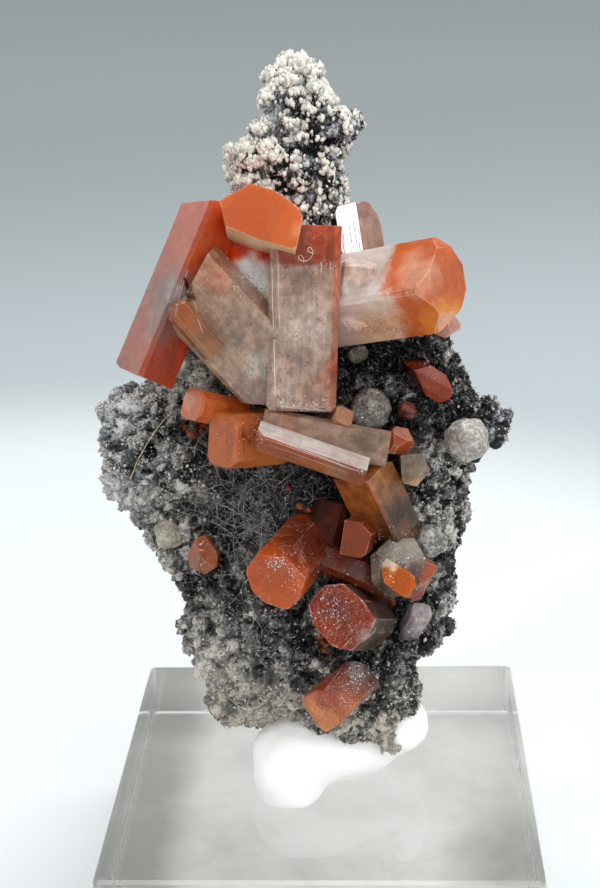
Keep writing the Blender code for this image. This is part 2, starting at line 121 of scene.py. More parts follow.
CRYSTAL_GROUPS = {
    "upper_topaz_cluster": [
        Crystal(
            "left_prism", (-7.8, -4.9, 45.1), (-13.1, -7.2, 32.8), 3.3, 3.2, 0.25, 45,
            tip_facets=[(135, 20, -0.85)], root_facets=[(135, 30, 0.8)]),
        Crystal(
            "top_facing", (-4.4, -10.4, 43.8), (-5.0, -2.6, 42.4), faces_viewer=True,
            outline=[(-2.75, 1.0), (-0.7, 2.1), (0.9, 1.6), (2.4, 0.5), (2.7, -0.3), (2.2, -2.35),
                (-0.3, -1.6), (-2.4, -0.7)]),
        Crystal("centre_prism", (-1.7, -6.2, 43.0), (-2.3, -6.7, 30.4), 4.8, 4.4, 0.5, 4, root_facets=EDGE),
        Crystal(
            "slanted_prism", (-10.1, -7.0, 39.7), (-3.0, -6.4, 31.8), 5.6, 3.6, 0.4, -12,
            tip_facets=[(192, 18, -0.8)], root_facets=[(192, 45, 0.45)]),
        Crystal(
            "side_blade", (-10.5, -9.5, 37.8), (-8.0, -8.5, 34.6), 1.5, 1.7, 0.25, 20,
            tip_facets=[(180, 45, 0.3), (0, 30, 0.7)]),
        Crystal(
            "back_prism", (-6.9, -3.4, 44.5), (-5.2, -4.2, 35.6), 5.0, 3.2, 0.4, -20,
            tip_facets=[(180, 30, 0.2), (0, 35, 0.7)]),
        Crystal(
            "glinting_prism", (1.7, -2.0, 44.4), (2.8, -2.8, 36.5), 2.4, 2.3, 0.15, 52,
            tip_facets=[(0, 50, 0.0), (90, 40, 0.6)]),
        Crystal("right_prism", (2.1, -6.3, 40.5), (1.7, -5.9, 37.2), 2.4, 2.8, 0.3, -8, tip_facets=EDGE),
        Crystal(
            "right_barrel", (7.9, -8.2, 39.0), (0.2, -3.4, 37.6), 5.2, 4.5, 0.3, -50,
            tip_facets=[(45, 42, 0.6), (135, 38, 0.75), (315, 35, 0.7), (225, 40, 0.75)]),
        Crystal("barrel_twin", (8.6, -5.2, 35.6), (5.5, -3.6, 36.8), 1.3, 1.6, 0.2, 20, tip_facets=ROOF),
    ],
    "middle_topaz_cluster": [
        Crystal("knob", (-9.7, -7.9, 31.0), (-6.8, -4.4, 29.8), 2.2, 2.1, 0.5, 10, tip_facets=EDGE),
        Crystal(
            "block", (-7.7, -8.3, 28.5), (-4.0, -4.2, 28.2), 3.8, 2.9, 0.6, 0,
            tip_facets=[(0, 45, 0.88), (90, 45, 0.88), (180, 45, 0.88), (270, 45, 0.88)]),
        Crystal(
            "long_blade", (-5.2, -9.2, 29.0), (2.2, -9.0, 26.3), 1.5, 1.6, 0.12, 53,
            tip_facets=[(180, 35, 0.3)]),
        Crystal("pink_prism", (-5.0, -7.4, 29.3), (3.6, -6.6, 27.4), 2.5, 3.0, 0.35, 15, tip_facets=EDGE),
        Crystal("amber_cube", (0.8, -8.0, 30.1), (-0.6, -5.6, 28.6), 1.4, 1.3, 0.2, 20, tip_facets=EDGE),
    ],
    "lower_topaz_cluster": [
        Crystal(
            "amber_prism", (1.9, -7.0, 26.3), (4.4, -4.6, 20.2), 3.0, 3.4, 0.2, 48,
            tip_facets=[(0, 30, 0.4)], root_facets=[(318, 45, 0.55), (138, 45, 0.8)]),
        Crystal("brown_prism", (-1.2, -6.2, 19.6), (-0.2, -4.6, 23.2), 2.4, 2.2, 0.4, 10, tip_facets=EDGE),
        Crystal(
            "small_facing", (1.4, -9.2, 21.7), (2.1, -4.6, 21.2), faces_viewer=True,
            outline=[(-0.7, 1.3), (0.45, 1.1), (1.15, 0.3), (0.75, -1.1), (0.4, -1.35), (-1.05, -1.05)]),
        Crystal(
            "big_facing", (-4.1, -10.5, 19.0), (-1.5, -3.6, 20.9), faces_viewer=True,
            tip_facets=[(30, 35, 0.7)],
            outline=[(-2.1, 0.7), (-1.0, 2.1), (0.9, 1.9), (2.2, 0.3), (1.7, -1.2), (0.7, -2.1),
                (-0.9, -1.7), (-1.8, -0.8)]),
        Crystal("red_bar", (-1.2, -6.6, 19.9), (4.2, -6.2, 17.4), 2.0, 2.2, 0.35, 25),
        Crystal(
            "clear_facing", (4.3, -8.5, 19.5), (4.8, -3.8, 18.4), faces_viewer=True,
            outline=[(-1.9, 0.8), (-0.7, 2.0), (1.0, 2.1), (1.9, 0.7), (1.3, -1.5), (-0.6, -2.2),
                (-1.8, -1.1)],
            tip_facets=[(80, 38, 0.2), (265, 35, 0.4), (350, 30, 0.4), (170, 25, 0.6)]),
        Crystal(
            "bright_facing", (4.3, -9.3, 19.0), (4.8, -5.0, 17.8), faces_viewer=True,
            tip_facets=[(140, 35, 0.3)],
            outline=[(-1.3, 1.6), (0.8, 0.4), (1.15, 0.1), (1.2, -0.6), (0.6, -1.35), (0.1, -1.2),
                (-0.95, -0.4), (-1.25, 0.9)]),
        Crystal(
            "bright_twin", (6.2, -7.8, 19.4), (5.6, -4.6, 17.2), faces_viewer=True,
            tip_facets=[(60, 35, 0.4)],
            outline=[(-0.7, 0.7), (0.2, 0.9), (1.0, 0.0), (0.3, -1.0), (-0.5, -1.2)]),
    ],
    "speckled_topaz": [
        Crystal(
            "speckled_facing", (0.3, -10.0, 16.4), (1.9, -3.4, 14.6), faces_viewer=True,
            tip_facets=[(320, 30, 0.7)],
            outline=[(-2.3, 0.7), (-1.3, 2.1), (0.1, 2.3), (1.6, 1.2), (2.5, 0.0), (2.2, -0.9),
                (0.9, -2.25), (-0.5, -2.0), (-1.9, -0.5)]),
    ],
    "bottom_topaz": [
        Crystal(
            "bottom_prism", (-1.2, -8.2, 9.1), (2.2, -2.0, 10.7), 2.9, 2.4, 0.35, 12,
            tip_facets=[(90, 45, 0.85), (270, 45, 0.85), (0, 30, 0.8)], root_facets=[(0, 45, -0.9)]),
    ],
    "left_topaz": [
        Crystal(
            "left_point", (-9.4, -7.6, 20.2), (-9.5, -2.6, 19.3), faces_viewer=True,
            tip_facets=[(200, 48, 0.1), (20, 40, 0.0), (280, 45, 0.2)],
            outline=[(-1.1, 0.0), (-0.3, 1.3), (0.2, 1.5), (1.1, 0.1), (1.0, -0.8), (0.2, -1.3),
                (-0.9, -0.8)]),
    ],
    "right_topaz": [
        Crystal(
            "right_point", (6.9, -5.8, 31.9), (6.1, -1.6, 32.2), faces_viewer=True,
            tip_facets=[(60, 40, 0.3), (240, 35, 0.5)],
            outline=[(-1.3, 1.05), (0.1, 1.2), (1.1, 0.5), (1.5, -0.5), (1.3, -1.1), (0.5, -1.4),
                (-0.4, -0.8)]),
    ],
    "orange_crumb": [
        Crystal(
            "orange_point", (4.5, -7.4, 28.2), (4.2, -3.4, 27.8), faces_viewer=True,
            tip_facets=[(60, 40, 0.3), (180, 40, 0.3), (300, 40, 0.3)],
            outline=[(-1.1, 0.0), (-0.2, 1.0), (0.7, 0.8), (1.1, -0.2), (0.5, -1.0), (-0.7, -0.9)]),
    ],
    "grey_topaz": [
        Crystal(
            "grey_stub", (5.6, -7.7, 26.2), (5.3, -3.2, 26.0), faces_viewer=True,
            tip_facets=[(330, 30, 0.5)],
            outline=[(-1.0, 1.0), (0.5, 1.1), (1.1, -0.1), (0.1, -1.2), (-0.9, -0.9)]),
    ],
    "lilac_topaz": [
        Crystal("lilac_sliver", (6.05, -4.6, 15.4), (5.0, -2.0, 13.0), 1.6, 1.5, 0.3, 20, tip_facets=EDGE),
    ],
}
CRYSTALS = [crystal for members in CRYSTAL_GROUPS.values() for crystal in members]


# ---------------------------------------------------------------- crystals: looks

TIP = "tip"


@dataclass
class Look:
    """How a crystal looks. Colours are sRGB hex, amounts are shares from 0 to 1.

    The colour goes from root to tip between the two shares of the length in fade. A face tint is (azimuth or
    TIP, colour, share): a tint on the faces that look that way, a painted sheen where it is paler and a
    painted shade
    where it is darker. A mark is (x, z, radius, colour, share): a tinted patch where the specimen's x and z
    are those; some marks are painted sheen, sparkle and shade.

    clear is how much light goes straight through, give or take cloud. veils, cracks, specks and dust are the
    strength of pale wisps, pale crazing, dark spots and pale dust; mottle and ghosts, of soft and of angular
    patches of light and dark; striae, of grooves along the length. flakes is how many there are inside, per
    cubic millimetre. The section's side number mirror is painted as a glint, white and faintly glowing. ease
    is the width of the worn edges, and rim how much paler they are painted, partly wear and partly a painted
    highlight along the edges.
    """

    tip: str
    root: str = ""
    fade: tuple = (0.2, 0.8)
    clear: float = 0.3
    cloud: float = 0.06
    rough: float = 0.04
    gloss: float = 0.4
    veils: float = 0.0
    mottle: float = 0.2
    cracks: float = 0.0
    ghosts: float = 0.35
    specks: float = 0.0
    dust: float = 0.0
    striae: float = 0.35
    flakes: float = 1.5
    mirror: int = -1
    ease: float = 0.07
    rim: float = 0.25
    skins: list = field(default_factory=list)
    marks: list = field(default_factory=list)


VEINED = dict(clear=0.5, cloud=0.14, veils=0.3, cracks=0.15, mottle=0.18, striae=0.7, ghosts=0.5, gloss=0.8,
              specks=0.7, flakes=7.0)

# The face tints by facing in these looks are painted sheen and painted shade; marks that are painted light
# and shade are noted where they stand.
LOOKS = {
    "left_prism": Look(
        "ed6c35", "a8360a", (0.3, 0.9), clear=0.6, flakes=2.0, rim=0.15,
        skins=[(180, "c47c60", 0.5), (-135, "d76c45", 0.6)],
        # Painted sheen: the first three marks, grey and whitish, stand for the light the left face mirrors.
        marks=[(-10.6, 38.2, 2.2, "98928e", 0.75), (-10.3, 38.5, 0.8, "d4d0d4", 0.6),
            (-11.6, 36.3, 1.4, "94807a", 0.5), (-6.3, 41.6, 1.2, "8c4028", 0.4)]),
    "top_facing": Look(
        "d16009", "c05c24", clear=0.25, cloud=0.03, mottle=0.05, rough=0.25, flakes=1.0, rim=0.7,
        skins=[(-107, "ffdcae", 0.95), (-66, "ffdcae", 0.9), (-14, "f8d0b0", 0.7)],
        marks=[(-5.2, 43.6, 1.4, "dc5404", 0.5), (-2.0, 42.8, 0.8, "e8905c", 0.6)]),
    "centre_prism": Look(
        "bd4505", "d0ad9a", (0.77, 0.81), **VEINED,
        skins=[(-45, "e06830", 0.75), (-135, "e3c1ad", 0.6)],
        marks=[(-2.2, 39.6, 0.9, "8c6a5c", 0.5), (-0.8, 39.6, 0.7, "a87860", 0.5),
            (-1.6, 36.4, 2.2, "f4e2d4", 0.5), (-2.0, 34.2, 1.0, "a89484", 0.5),
            (0.4, 32.9, 1.3, "d06428", 0.8), (-1.2, 31.4, 1.6, "c48c70", 0.5),
            (-3.2, 32.0, 1.2, "e0c8bc", 0.5)]),
    "slanted_prism": Look(
        "deb596", "b59480", **VEINED,
        marks=[(-8.2, 40.2, 1.3, "e09870", 0.6), (-7.4, 39.3, 0.9, "e07840", 0.5),
            (-5.4, 38.6, 0.7, "c07448", 0.5), (-7.0, 35.4, 1.2, "a08874", 0.5),
            # Painted shadow: these two dark marks fill the slit between this prism and the left prism.
            (-9.8, 39.0, 0.45, "301410", 0.9), (-9.55, 38.3, 0.35, "301410", 0.9),
            (-5.0, 33.6, 1.2, "f0e4d8", 0.5)]),
    "side_blade": Look("c87132", "be875e", (0.2, 0.9), clear=0.6, mottle=0.3, rim=0.7, flakes=6.0),
    "back_prism": Look(
        "e84509", "fffff2", (0.36, 0.56), clear=0.2, flakes=8.0,
        # Partly the cloudy root's own white, partly a painted sparkle: the pure white mark stands for light
        # glinting inside.
        marks=[(-5.6, 39.9, 1.3, "ffffff", 1.0), (-4.9, 37.9, 0.7, "c07850", 0.6)]),
    "glinting_prism": Look(
        # Side 4 is painted as a white, faintly glowing glint.
        "c69d8d", "b68875", clear=0.55, cloud=0.1, veils=0.1, mirror=4, rim=0.3, flakes=6.0,
        marks=[(1.6, 40.5, 0.9, "8c5038", 0.6)]),
    "right_prism": Look(
        "f8d8c8", "fcece0", (0.2, 0.7), clear=0.45, cloud=0.14, veils=0.5, mottle=0.25, specks=0.2,
        flakes=8.0,
        # The brown mark at the top is partly the crystal's own reddish brown and partly painted shade under
        # the glinting prism's foot.
        marks=[(0.7, 40.4, 0.7, "8c5c44", 0.7), (2.2, 38.4, 0.7, "b8a090", 0.5)]),
    "right_barrel": Look(
        "dc6a27", "f2e2dc", (0.55, 0.66), clear=0.4, cloud=0.05, veils=0.1, flakes=8.0, rim=0.4,
        skins=[(0, "f07028", 0.3)],
        marks=[(3.4, 37.6, 1.3, "fff8f0", 0.7), (3.2, 39.8, 0.8, "d8c0b4", 0.6),
            (7.6, 36.6, 1.7, "ffa244", 0.9), (3.4, 35.9, 1.9, "ffc8a0", 0.95),
            (5.9, 39.6, 1.6, "f4b898", 0.75)]),
    "barrel_twin": Look("daa095", "e0a898", clear=0.5),
    "knob": Look(
        "d36e35", "dc6c30", striae=0.15, clear=0.4, rough=0.1, ease=0.32, rim=0.2, mottle=0.18,
        marks=[(-9.9, 31.3, 0.7, "e0a084", 0.6)]),
    "block": Look(
        "d3743d", "ff9446", clear=0.4, rough=0.1, ease=0.3, rim=0.2, mottle=0.18, striae=0.25,
        skins=[(TIP, "cc7856", 0.4)], marks=[(-6.0, 28.6, 0.35, "8c3410", 0.6)]),
    "long_blade": Look(
        "c1642f", "af602f", clear=0.5, striae=1.0, mottle=0.25, rim=0.8, rough=0.08, flakes=6.0,
        skins=[(-90, "f8e8e0", 0.9)], marks=[(0.4, 26.4, 0.9, "a88460", 0.6)]),
    "pink_prism": Look(
        "bb9680", "caa68e", clear=0.55, cloud=0.14, veils=0.1, mottle=0.26, specks=0.3, flakes=6.0,
        marks=[(-3.0, 29.2, 1.0, "d08860", 0.6), (2.4, 28.4, 1.2, "7c6c54", 0.7)]),
    "amber_cube": Look("e69d6d", "d89468", clear=0.6, mottle=0.25, rim=0.6, flakes=6.0),
    "amber_prism": Look(
        "e78a49", "4c3820", (0.15, 0.6), clear=0.6, cloud=0.12, mottle=0.24, specks=0.4, flakes=2.0,
        rim=0.4, skins=[(-90, "a08460", 0.5)],
        marks=[(0.2, 25.6, 0.9, "9c4420", 0.7), (3.0, 26.0, 0.9, "e09c58", 0.6),
            (4.6, 22.6, 2.0, "4c3018", 0.85), (4.8, 21.8, 0.8, "b06840", 0.6)]),
    "brown_prism": Look(
        "501c10", clear=0.15, cloud=0.02, rough=0.5, mottle=0.4, flakes=0.5, gloss=0.02, rim=0.05,
        # Painted shade: the darkest mark darkens the upper part, where the prism lies in shadow between the
        # crystals round it.
        striae=0.1, marks=[(-1.6, 23.2, 1.4, "280c08", 0.9)]),
    "small_facing": Look("984213", "a04818", clear=0.4, rough=0.15, rim=0.5, gloss=0.3),
    "big_facing": Look(
        "d05b16", "a94b21", (0.5, 0.95), clear=0.4, rough=0.15, rim=0.4, ease=0.12, dust=0.1,
        cracks=0.2, gloss=0.15,
        marks=[(-2.0, 21.3, 1.7, "702818", 0.8), (-0.9, 19.9, 1.2, "7c3020", 0.7),
            (-4.4, 17.6, 1.2, "e06c2c", 0.4)]),
    "red_bar": Look("82341c", "743018", clear=0.5, rough=0.2, mottle=0.4, flakes=0.8, gloss=0.1, rim=0.1),
    "clear_facing": Look(
        "736051", "5b4536", clear=0.35, cloud=0.14, veils=0.15, mottle=0.26, specks=0.3, flakes=4.0, rim=0.5,
        marks=[(4.8, 20.8, 1.4, "a89c90", 0.8), (3.2, 17.3, 1.5, "4c3420", 0.9),
            (4.9, 17.0, 1.2, "6c4c34", 0.9), (2.4, 19.4, 0.9, "8c7c6c", 0.7)]),
    "bright_facing": Look(
        "ca6211", "e06c18", clear=0.25, cloud=0.03, mottle=0.06, rim=0.8, gloss=0.3,
        skins=[(140, "ffe4c4", 0.9), (TIP, "ca5f0c", 0.8)], marks=[(3.8, 19.8, 0.55, "ffe0c0", 0.9)]),
    "bright_twin": Look("c8683c", "a84820", clear=0.6, mottle=0.15, rim=0.6),
    "speckled_facing": Look(
        "98300a", "684828", clear=0.35, rough=0.25, gloss=0.05, mottle=0.25, dust=0.3, cracks=0.2,
        flakes=1.0, rim=0.6, ease=0.1,
        skins=[(-40, "34200e", 0.9), (0, "34200e", 0.9), (45, "38240f", 0.8)],
        marks=[(-0.6, 15.2, 1.2, "b8441c", 0.5), (0.2, 17.0, 1.2, "6c2c20", 0.6),
            (2.2, 15.2, 0.5, "c8b8ac", 0.85)]),
    "bottom_prism": Look(
        "c0622e", "7c4c3c", (0.3, 0.8), clear=0.35, rough=0.25, gloss=0.15, mottle=0.3, dust=0.3,
        cracks=0.2, rim=0.4, skins=[(TIP, "ee9c68", 0.8)], ease=0.1,
        marks=[(-0.3, 11.3, 1.4, "7c2810", 0.85), (-0.9, 10.2, 1.0, "a83c18", 0.8),
            (1.6, 11.2, 1.0, "94807c", 0.7)]),
    "left_point": Look("b45c2a", "a04c24", clear=0.45, mottle=0.25, dust=0.2, rim=0.5),
    "right_point": Look("a03a10", "923a10", clear=0.4, dust=0.1, rim=0.3, gloss=0.3),
    "orange_point": Look("b8511b", "a94917", clear=0.4, rim=0.4),
    "grey_stub": Look(
        "a8917f", "998475", clear=0.6, cloud=0.14, veils=0.1, mottle=0.3, specks=0.3, flakes=8.0, rim=0.5,
        marks=[(5.5, 25.3, 0.7, "d8a070", 0.7)]),
    "lilac_sliver": Look(
        "d6c9cb", "c3b6b8", clear=0.55, cloud=0.14, veils=0.2, mottle=0.3, striae=0.6, dust=0.4, rim=0.4,
        ease=0.4),
}


# ---------------------------------------------------------------- shader building

def linear(colour):
    """A hex sRGB colour, as linear red, green, blue and alpha."""
    parts = [int(colour[i:i + 2], 16) / 255 for i in (0, 2, 4)]
    return tuple(c / 12.92 if c <= 0.04045 else ((c + 0.055) / 1.055) ** 2.4 for c in parts) + (1.0,)


class Tree:
    """A material being built. Values in the tree are sockets, numbers, vectors or hex colours."""

    def __init__(self, name):
        self.material = bpy.data.materials.new(name)
        self.material.use_nodes = True
        self.nodes = self.material.node_tree.nodes
        self.links = self.material.node_tree.links
        self.shader = self.nodes["Principled BSDF"]
        metres = self.add("TexCoord", out="Object")
        self.place = self.add("VectorMath", {0: metres, "Scale": 1 / MM}, operation="SCALE")

    def add(self, kind, inputs=(), out=0, **settings):
        """An output of a new node, with its inputs given in order or by name."""
        node = self.nodes.new("ShaderNode" + kind)
        for setting, value in settings.items():
            setattr(node, setting, value)
        for key, value in (inputs.items() if isinstance(inputs, dict) else enumerate(inputs)):
            self.feed(node.inputs[key], value)
        return node.outputs[out]

    def feed(self, socket, value):
        if isinstance(value, bpy.types.NodeSocket):
            self.links.new(value, socket)
        elif value is not None:
            socket.default_value = linear(value) if isinstance(value, str) else value

    def principled(self, **values):
        for key, value in values.items():
            self.feed(self.shader.inputs[key.replace("_", " ")], value)

    def maths(self, operation, *values, clamp=False):
        return self.add("Math", values, operation=operation, use_clamp=clamp)

    def vector(self, operation, *values):
        out = "Value" if operation in ("DISTANCE", "DOT_PRODUCT") else "Vector"
        return self.add("VectorMath", values, out, operation=operation)

    def coordinate(self, letter):
        return self.add("SeparateXYZ", (self.place,), letter)

    def around(self, value, width, middle=0.0):
        """A value that goes from 0 to 1, stretched to the width and laid about the middle."""
        return self.maths("MULTIPLY_ADD", value, width, middle - width / 2)

    def noise(self, scale, detail=3.0, roughness=0.6, place=None, stretch=None, distortion=0.0):
        place = place or self.place
        if stretch:
            place = self.vector("MULTIPLY", place, stretch)
        return self.add("TexNoise", {
            "Vector": place, "Scale": scale, "Detail": detail, "Roughness": roughness,
            "Distortion": distortion})

    def cells(self, scale, feature="F1", out="Distance", place=None):
        return self.add("TexVoronoi", {"Vector": place or self.place, "Scale": scale}, out, feature=feature)

    def span(self, value, low, high, to_low=0.0, to_high=1.0):
        """A value from low to high, moved smoothly to another range and held at its ends."""
        return self.add("MapRange", (value, low, high, to_low, to_high), interpolation_type="SMOOTHSTEP")

    def mix(self, share, low, high):
        return self.add("Mix", {0: share, 6: low, 7: high}, 2, data_type="RGBA")

    def bump(self, height, strength, distance, below=None):
        return self.add("Bump", {
            "Strength": strength, "Distance": distance * MM, "Height": height, "Normal": below})

    def value_of(self, name):
        return self.add("Attribute", out="Fac", attribute_name=name)


def crystal_material(crystal, look, edge=False):
    """A crystal's faces, or its worn edges, which are painted paler as highlights too."""
    t = Tree(crystal.name + ("_edges" if edge else ""))
    own = crystal.frame()
    at = t.add("Mapping", {"Vector": t.place, "Location": own.translation, "Rotation": own.to_euler()})
    ripple = t.add("TexNoise", {"Vector": at, "Scale": 1.1, "Detail": 4.0}, "Color")
    warped = t.vector("SUBTRACT", t.vector("MULTIPLY_ADD", ripple, (1.8, 1.8, 1.8), at), (0.9, 0.9, 0.9))

    along = t.maths("ADD", t.coordinate("Z"), t.around(t.noise(0.6, 4, place=at), 2.0))
    share = t.span(along, look.fade[0] * crystal.length, look.fade[1] * crystal.length)
    colour = t.mix(share, look.root or look.tip, look.tip)
    facing = t.add("TexCoord", out="Normal")
    # Painted sheen and shade: the faces that look each given way take that tint, for the light they catch.
    for azimuth, tint, amount in look.skins:
        if azimuth == TIP:
            way = (0.0, 0.0, 1.0)
        else:
            way = (math.cos(math.radians(azimuth)), math.sin(math.radians(azimuth)), 0.0)
        turned = t.span(t.vector("DOT_PRODUCT", facing, way), 0.8, 0.9)
        colour = t.mix(t.maths("MULTIPLY", turned, amount), colour, tint)
    flat = t.vector("MULTIPLY", warped, (1.0, 0.0, 1.0))
    # Marks: tinted patches, some of them painted sheen, sparkle and shade.
    for x, level, radius, tint, amount in look.marks:
        away = t.vector("DISTANCE", flat, (x, 0.0, level))
        colour = t.mix(t.span(away, 1.3 * radius, 0.3 * radius, 0.0, amount), colour, tint)

    broad = t.around(t.noise(0.5, 3, place=at), 3.0 * look.mottle, 1.0)
    mottle = t.around(t.noise(3.0, 4, 0.75, place=at), 3.0 * look.mottle, 1.0)
    streak = t.around(t.noise(1.0, 4, 0.65, stretch=(5.0, 5.0, 0.25)), 1.4 * look.striae, 1.0)
    ghost = t.cells(0.55, out="Color", place=t.vector("MULTIPLY", at, (1.0, 1.0, 0.4)))
    ghost = t.around(ghost, look.ghosts, 1.0)
    shade = t.maths("MULTIPLY", t.maths("MULTIPLY", streak, ghost), t.maths("MULTIPLY", broad, mottle))
    colour = t.add("HueSaturation", {"Color": colour, "Value": shade})

    crazed = t.maths("MULTIPLY", t.span(t.cells(0.7, "DISTANCE_TO_EDGE", place=warped), 0.05, 0.0),
                     t.span(t.noise(0.6, 2, place=warped), 0.45, 0.6, 0.0, look.cracks))
    colour = t.mix(crazed, colour, "fff0e4")
    if look.veils:
        veil = t.span(t.noise(1.4, 6, 0.7, place=at, distortion=0.6), 0.5, 0.72, 0.0, look.veils)
        colour = t.mix(veil, colour, "fff6ee")
    if look.specks:
        dark = t.span(t.noise(4.5, 3, 0.7, place=at), 0.6, 0.68, 0.0, look.specks)
        colour = t.mix(dark, colour, "463a30")

    rough = t.maths("MULTIPLY_ADD", t.noise(2.5, 3, place=at), 0.14, look.rough)
    grooves = t.noise(1.0, 4, 0.6, stretch=(9.0, 9.0, 0.35))
    bumped = t.bump(grooves, look.striae, 0.08, t.bump(t.noise(1.1, 3, place=at), 0.35, 0.12))
    if look.dust:
        patches = t.span(t.noise(0.7, 2, place=at), 0.35, 0.6)
        dust = t.maths("MULTIPLY", t.span(t.noise(8.0, 3, 0.75, place=at), 0.54, 0.62),
                       t.maths("MULTIPLY", patches, look.dust))
        colour = t.mix(dust, colour, "f4ece4")
        rough = t.maths("MULTIPLY_ADD", dust, 0.4, rough)
        bumped = t.bump(dust, 0.4, 0.04, bumped)
    # Painted highlight: the worn edges are made paler, as bright lines where they catch the light.
    if edge:
        colour = t.mix(t.span(t.noise(1.6, 3, place=at), 0.42, 0.6, 0.0, look.rim), colour, "f8dcc8")
    cloud = t.span(t.noise(1.5, 4, 0.7, place=at), 0.36, 0.62, -look.cloud, look.cloud)
    t.principled(Base_Color=colour, Roughness=rough, Normal=bumped, IOR=TOPAZ_IOR,
                 Specular_IOR_Level=look.gloss, Subsurface_Weight=0.6, Subsurface_Radius=(1.0, 0.5, 0.3),
                 Subsurface_Scale=1.3 * MM, Transmission_Weight=t.maths("ADD", cloud, look.clear, clamp=True))
    return t.material


def painted_glint_material():
    """A white face painted as a glint, glowing faintly, crossed by a few dark needles."""
    t = Tree("cleavage")
    lines = t.span(t.noise(1.0, 2, 0.5, stretch=(9.0, 9.0, 0.4)), 0.61, 0.65)
    colour = t.mix(lines, "ffffff", "4a4038")
    # Painted light: the emission makes this face glow though it is no lamp.
    t.principled(Base_Color=colour, Roughness=0.2, IOR=TOPAZ_IOR, Emission_Color=colour,
                 Emission_Strength=0.6)
    return t.material


# ---------------------------------------------------------------- meshes

def added(name, data):
    """A new object in the scene."""
    made = bpy.data.objects.new(name, data)
    bpy.context.scene.collection.objects.link(made)
    return made


def piece(name, mesh, place, nodes=(), materials=()):
    """A piece of the object, placed and riding on the body, in the place of the nodes named."""
    made = added(name, mesh)
    made.matrix_world = place
    for finish in materials:
        mesh.materials.append(finish)
    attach(made, "root")
    if nodes:
        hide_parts(*nodes)
    return made


def mesh_of(name, bm):
    """A mesh made from a working one, which is let go."""
    mesh = bpy.data.meshes.new(name)
    bm.to_mesh(mesh)
    bm.free()
    return mesh


def settle(made):
    """Applies a piece's modifiers."""
    graph = bpy.context.evaluated_depsgraph_get()
    mesh = bpy.data.meshes.new_from_object(made.evaluated_get(graph))
    made.modifiers.clear()
    made.data = mesh


def skin_over(made):
    """Adds a modifier that gives a piece one even, closed skin."""
    remesh = made.modifiers.new("Even skin", "REMESH")
    remesh.mode = "VOXEL"
    remesh.voxel_size = SKIN_CELL * MM


def skin_of(mesh):
    """A mesh's points, in millimetres, and their normals."""
    points, normals = np.empty(len(mesh.vertices) * 3), np.empty(len(mesh.vertices) * 3)
    mesh.vertices.foreach_get("co", points)
    mesh.vertices.foreach_get("normal", normals)
    return points.reshape(-1, 3) / MM, normals.reshape(-1, 3)


def slice_off(bm, point, normal):
    """Cuts away what lies beyond a plane and closes the cut."""
    everything = bm.verts[:] + bm.edges[:] + bm.faces[:]
    cut = bmesh.ops.bisect_plane(bm, geom=everything, plane_co=point, plane_no=normal, clear_outer=True)
    rim = [part for part in cut["geom_cut"] if isinstance(part, bmesh.types.BMEdge)]
    if rim:
        bmesh.ops.contextual_create(bm, geom=rim)


def crystal_planes(crystal):
    """The planes that bound a crystal, as (point, normal) in its own frame."""
    section = crystal.section()
    planes = [(Vector((0, 0, 0)), Vector((0, 0, -1))), (Vector((0, 0, crystal.length)), Vector((0, 0, 1)))]
    for corner, following in zip(section, section[1:] + section[:1]):
        along = following - corner
        outward = Vector((along.y, -along.x)).normalized()
        if outward.dot(corner) < 0:
            outward.negate()
        planes.append((corner.to_3d(), outward.to_3d()))
    for facets, end, direction in ((crystal.tip_facets, crystal.length, 1), (crystal.root_facets, 0.0, -1)):
        for azimuth, tilt, share in facets:
            spin, lean = math.radians(azimuth), math.radians(tilt)
            away = Vector((math.cos(spin), math.sin(spin)))
            meets = away * max(corner.dot(away) for corner in section) * share
            normal = (away * math.sin(lean)).to_3d() + Vector((0, 0, direction * math.cos(lean)))
            planes.append((Vector((*meets, end)), normal))
    return planes


def mend(bm):
    """Joins corners that meet and turns the faces outwards."""
    bmesh.ops.remove_doubles(bm, verts=bm.verts, dist=0.01)
    bmesh.ops.recalc_face_normals(bm, faces=bm.faces)


def chip_corners(bm, above, rng):
    """Breaks a little off some of the corners above a level."""
    chips = []
    for corner in bm.verts:
        corner.normal_update()
        if rng.random() < 0.55 and corner.co.z > above:
            normal = (corner.normal + Vector([rng.uniform(-0.2, 0.2) for _ in range(3)])).normalized()
            chips.append((corner.co - normal * rng.uniform(0.03, 0.12), normal))
    for point, normal in chips:
        slice_off(bm, point, normal)
    mend(bm)


def crystal_mesh(crystal):
    """The crystal in its own frame, in metres."""
    reach = crystal.reach
    bm = bmesh.new()
    bmesh.ops.create_cube(bm, size=1.0)
    bmesh.ops.scale(bm, vec=(3 * reach, 3 * reach, crystal.length), verts=bm.verts)
    bmesh.ops.translate(bm, vec=(0, 0, crystal.length / 2), verts=bm.verts)
    for point, normal in crystal_planes(crystal):
        slice_off(bm, point, normal)
    mend(bm)
    chip_corners(bm, crystal.length / 2, random.Random(crystal.name))
    bmesh.ops.scale(bm, vec=(MM, MM, MM), verts=bm.verts)
    mesh = mesh_of(crystal.name, bm)
    mesh.shade_smooth()
    return mesh


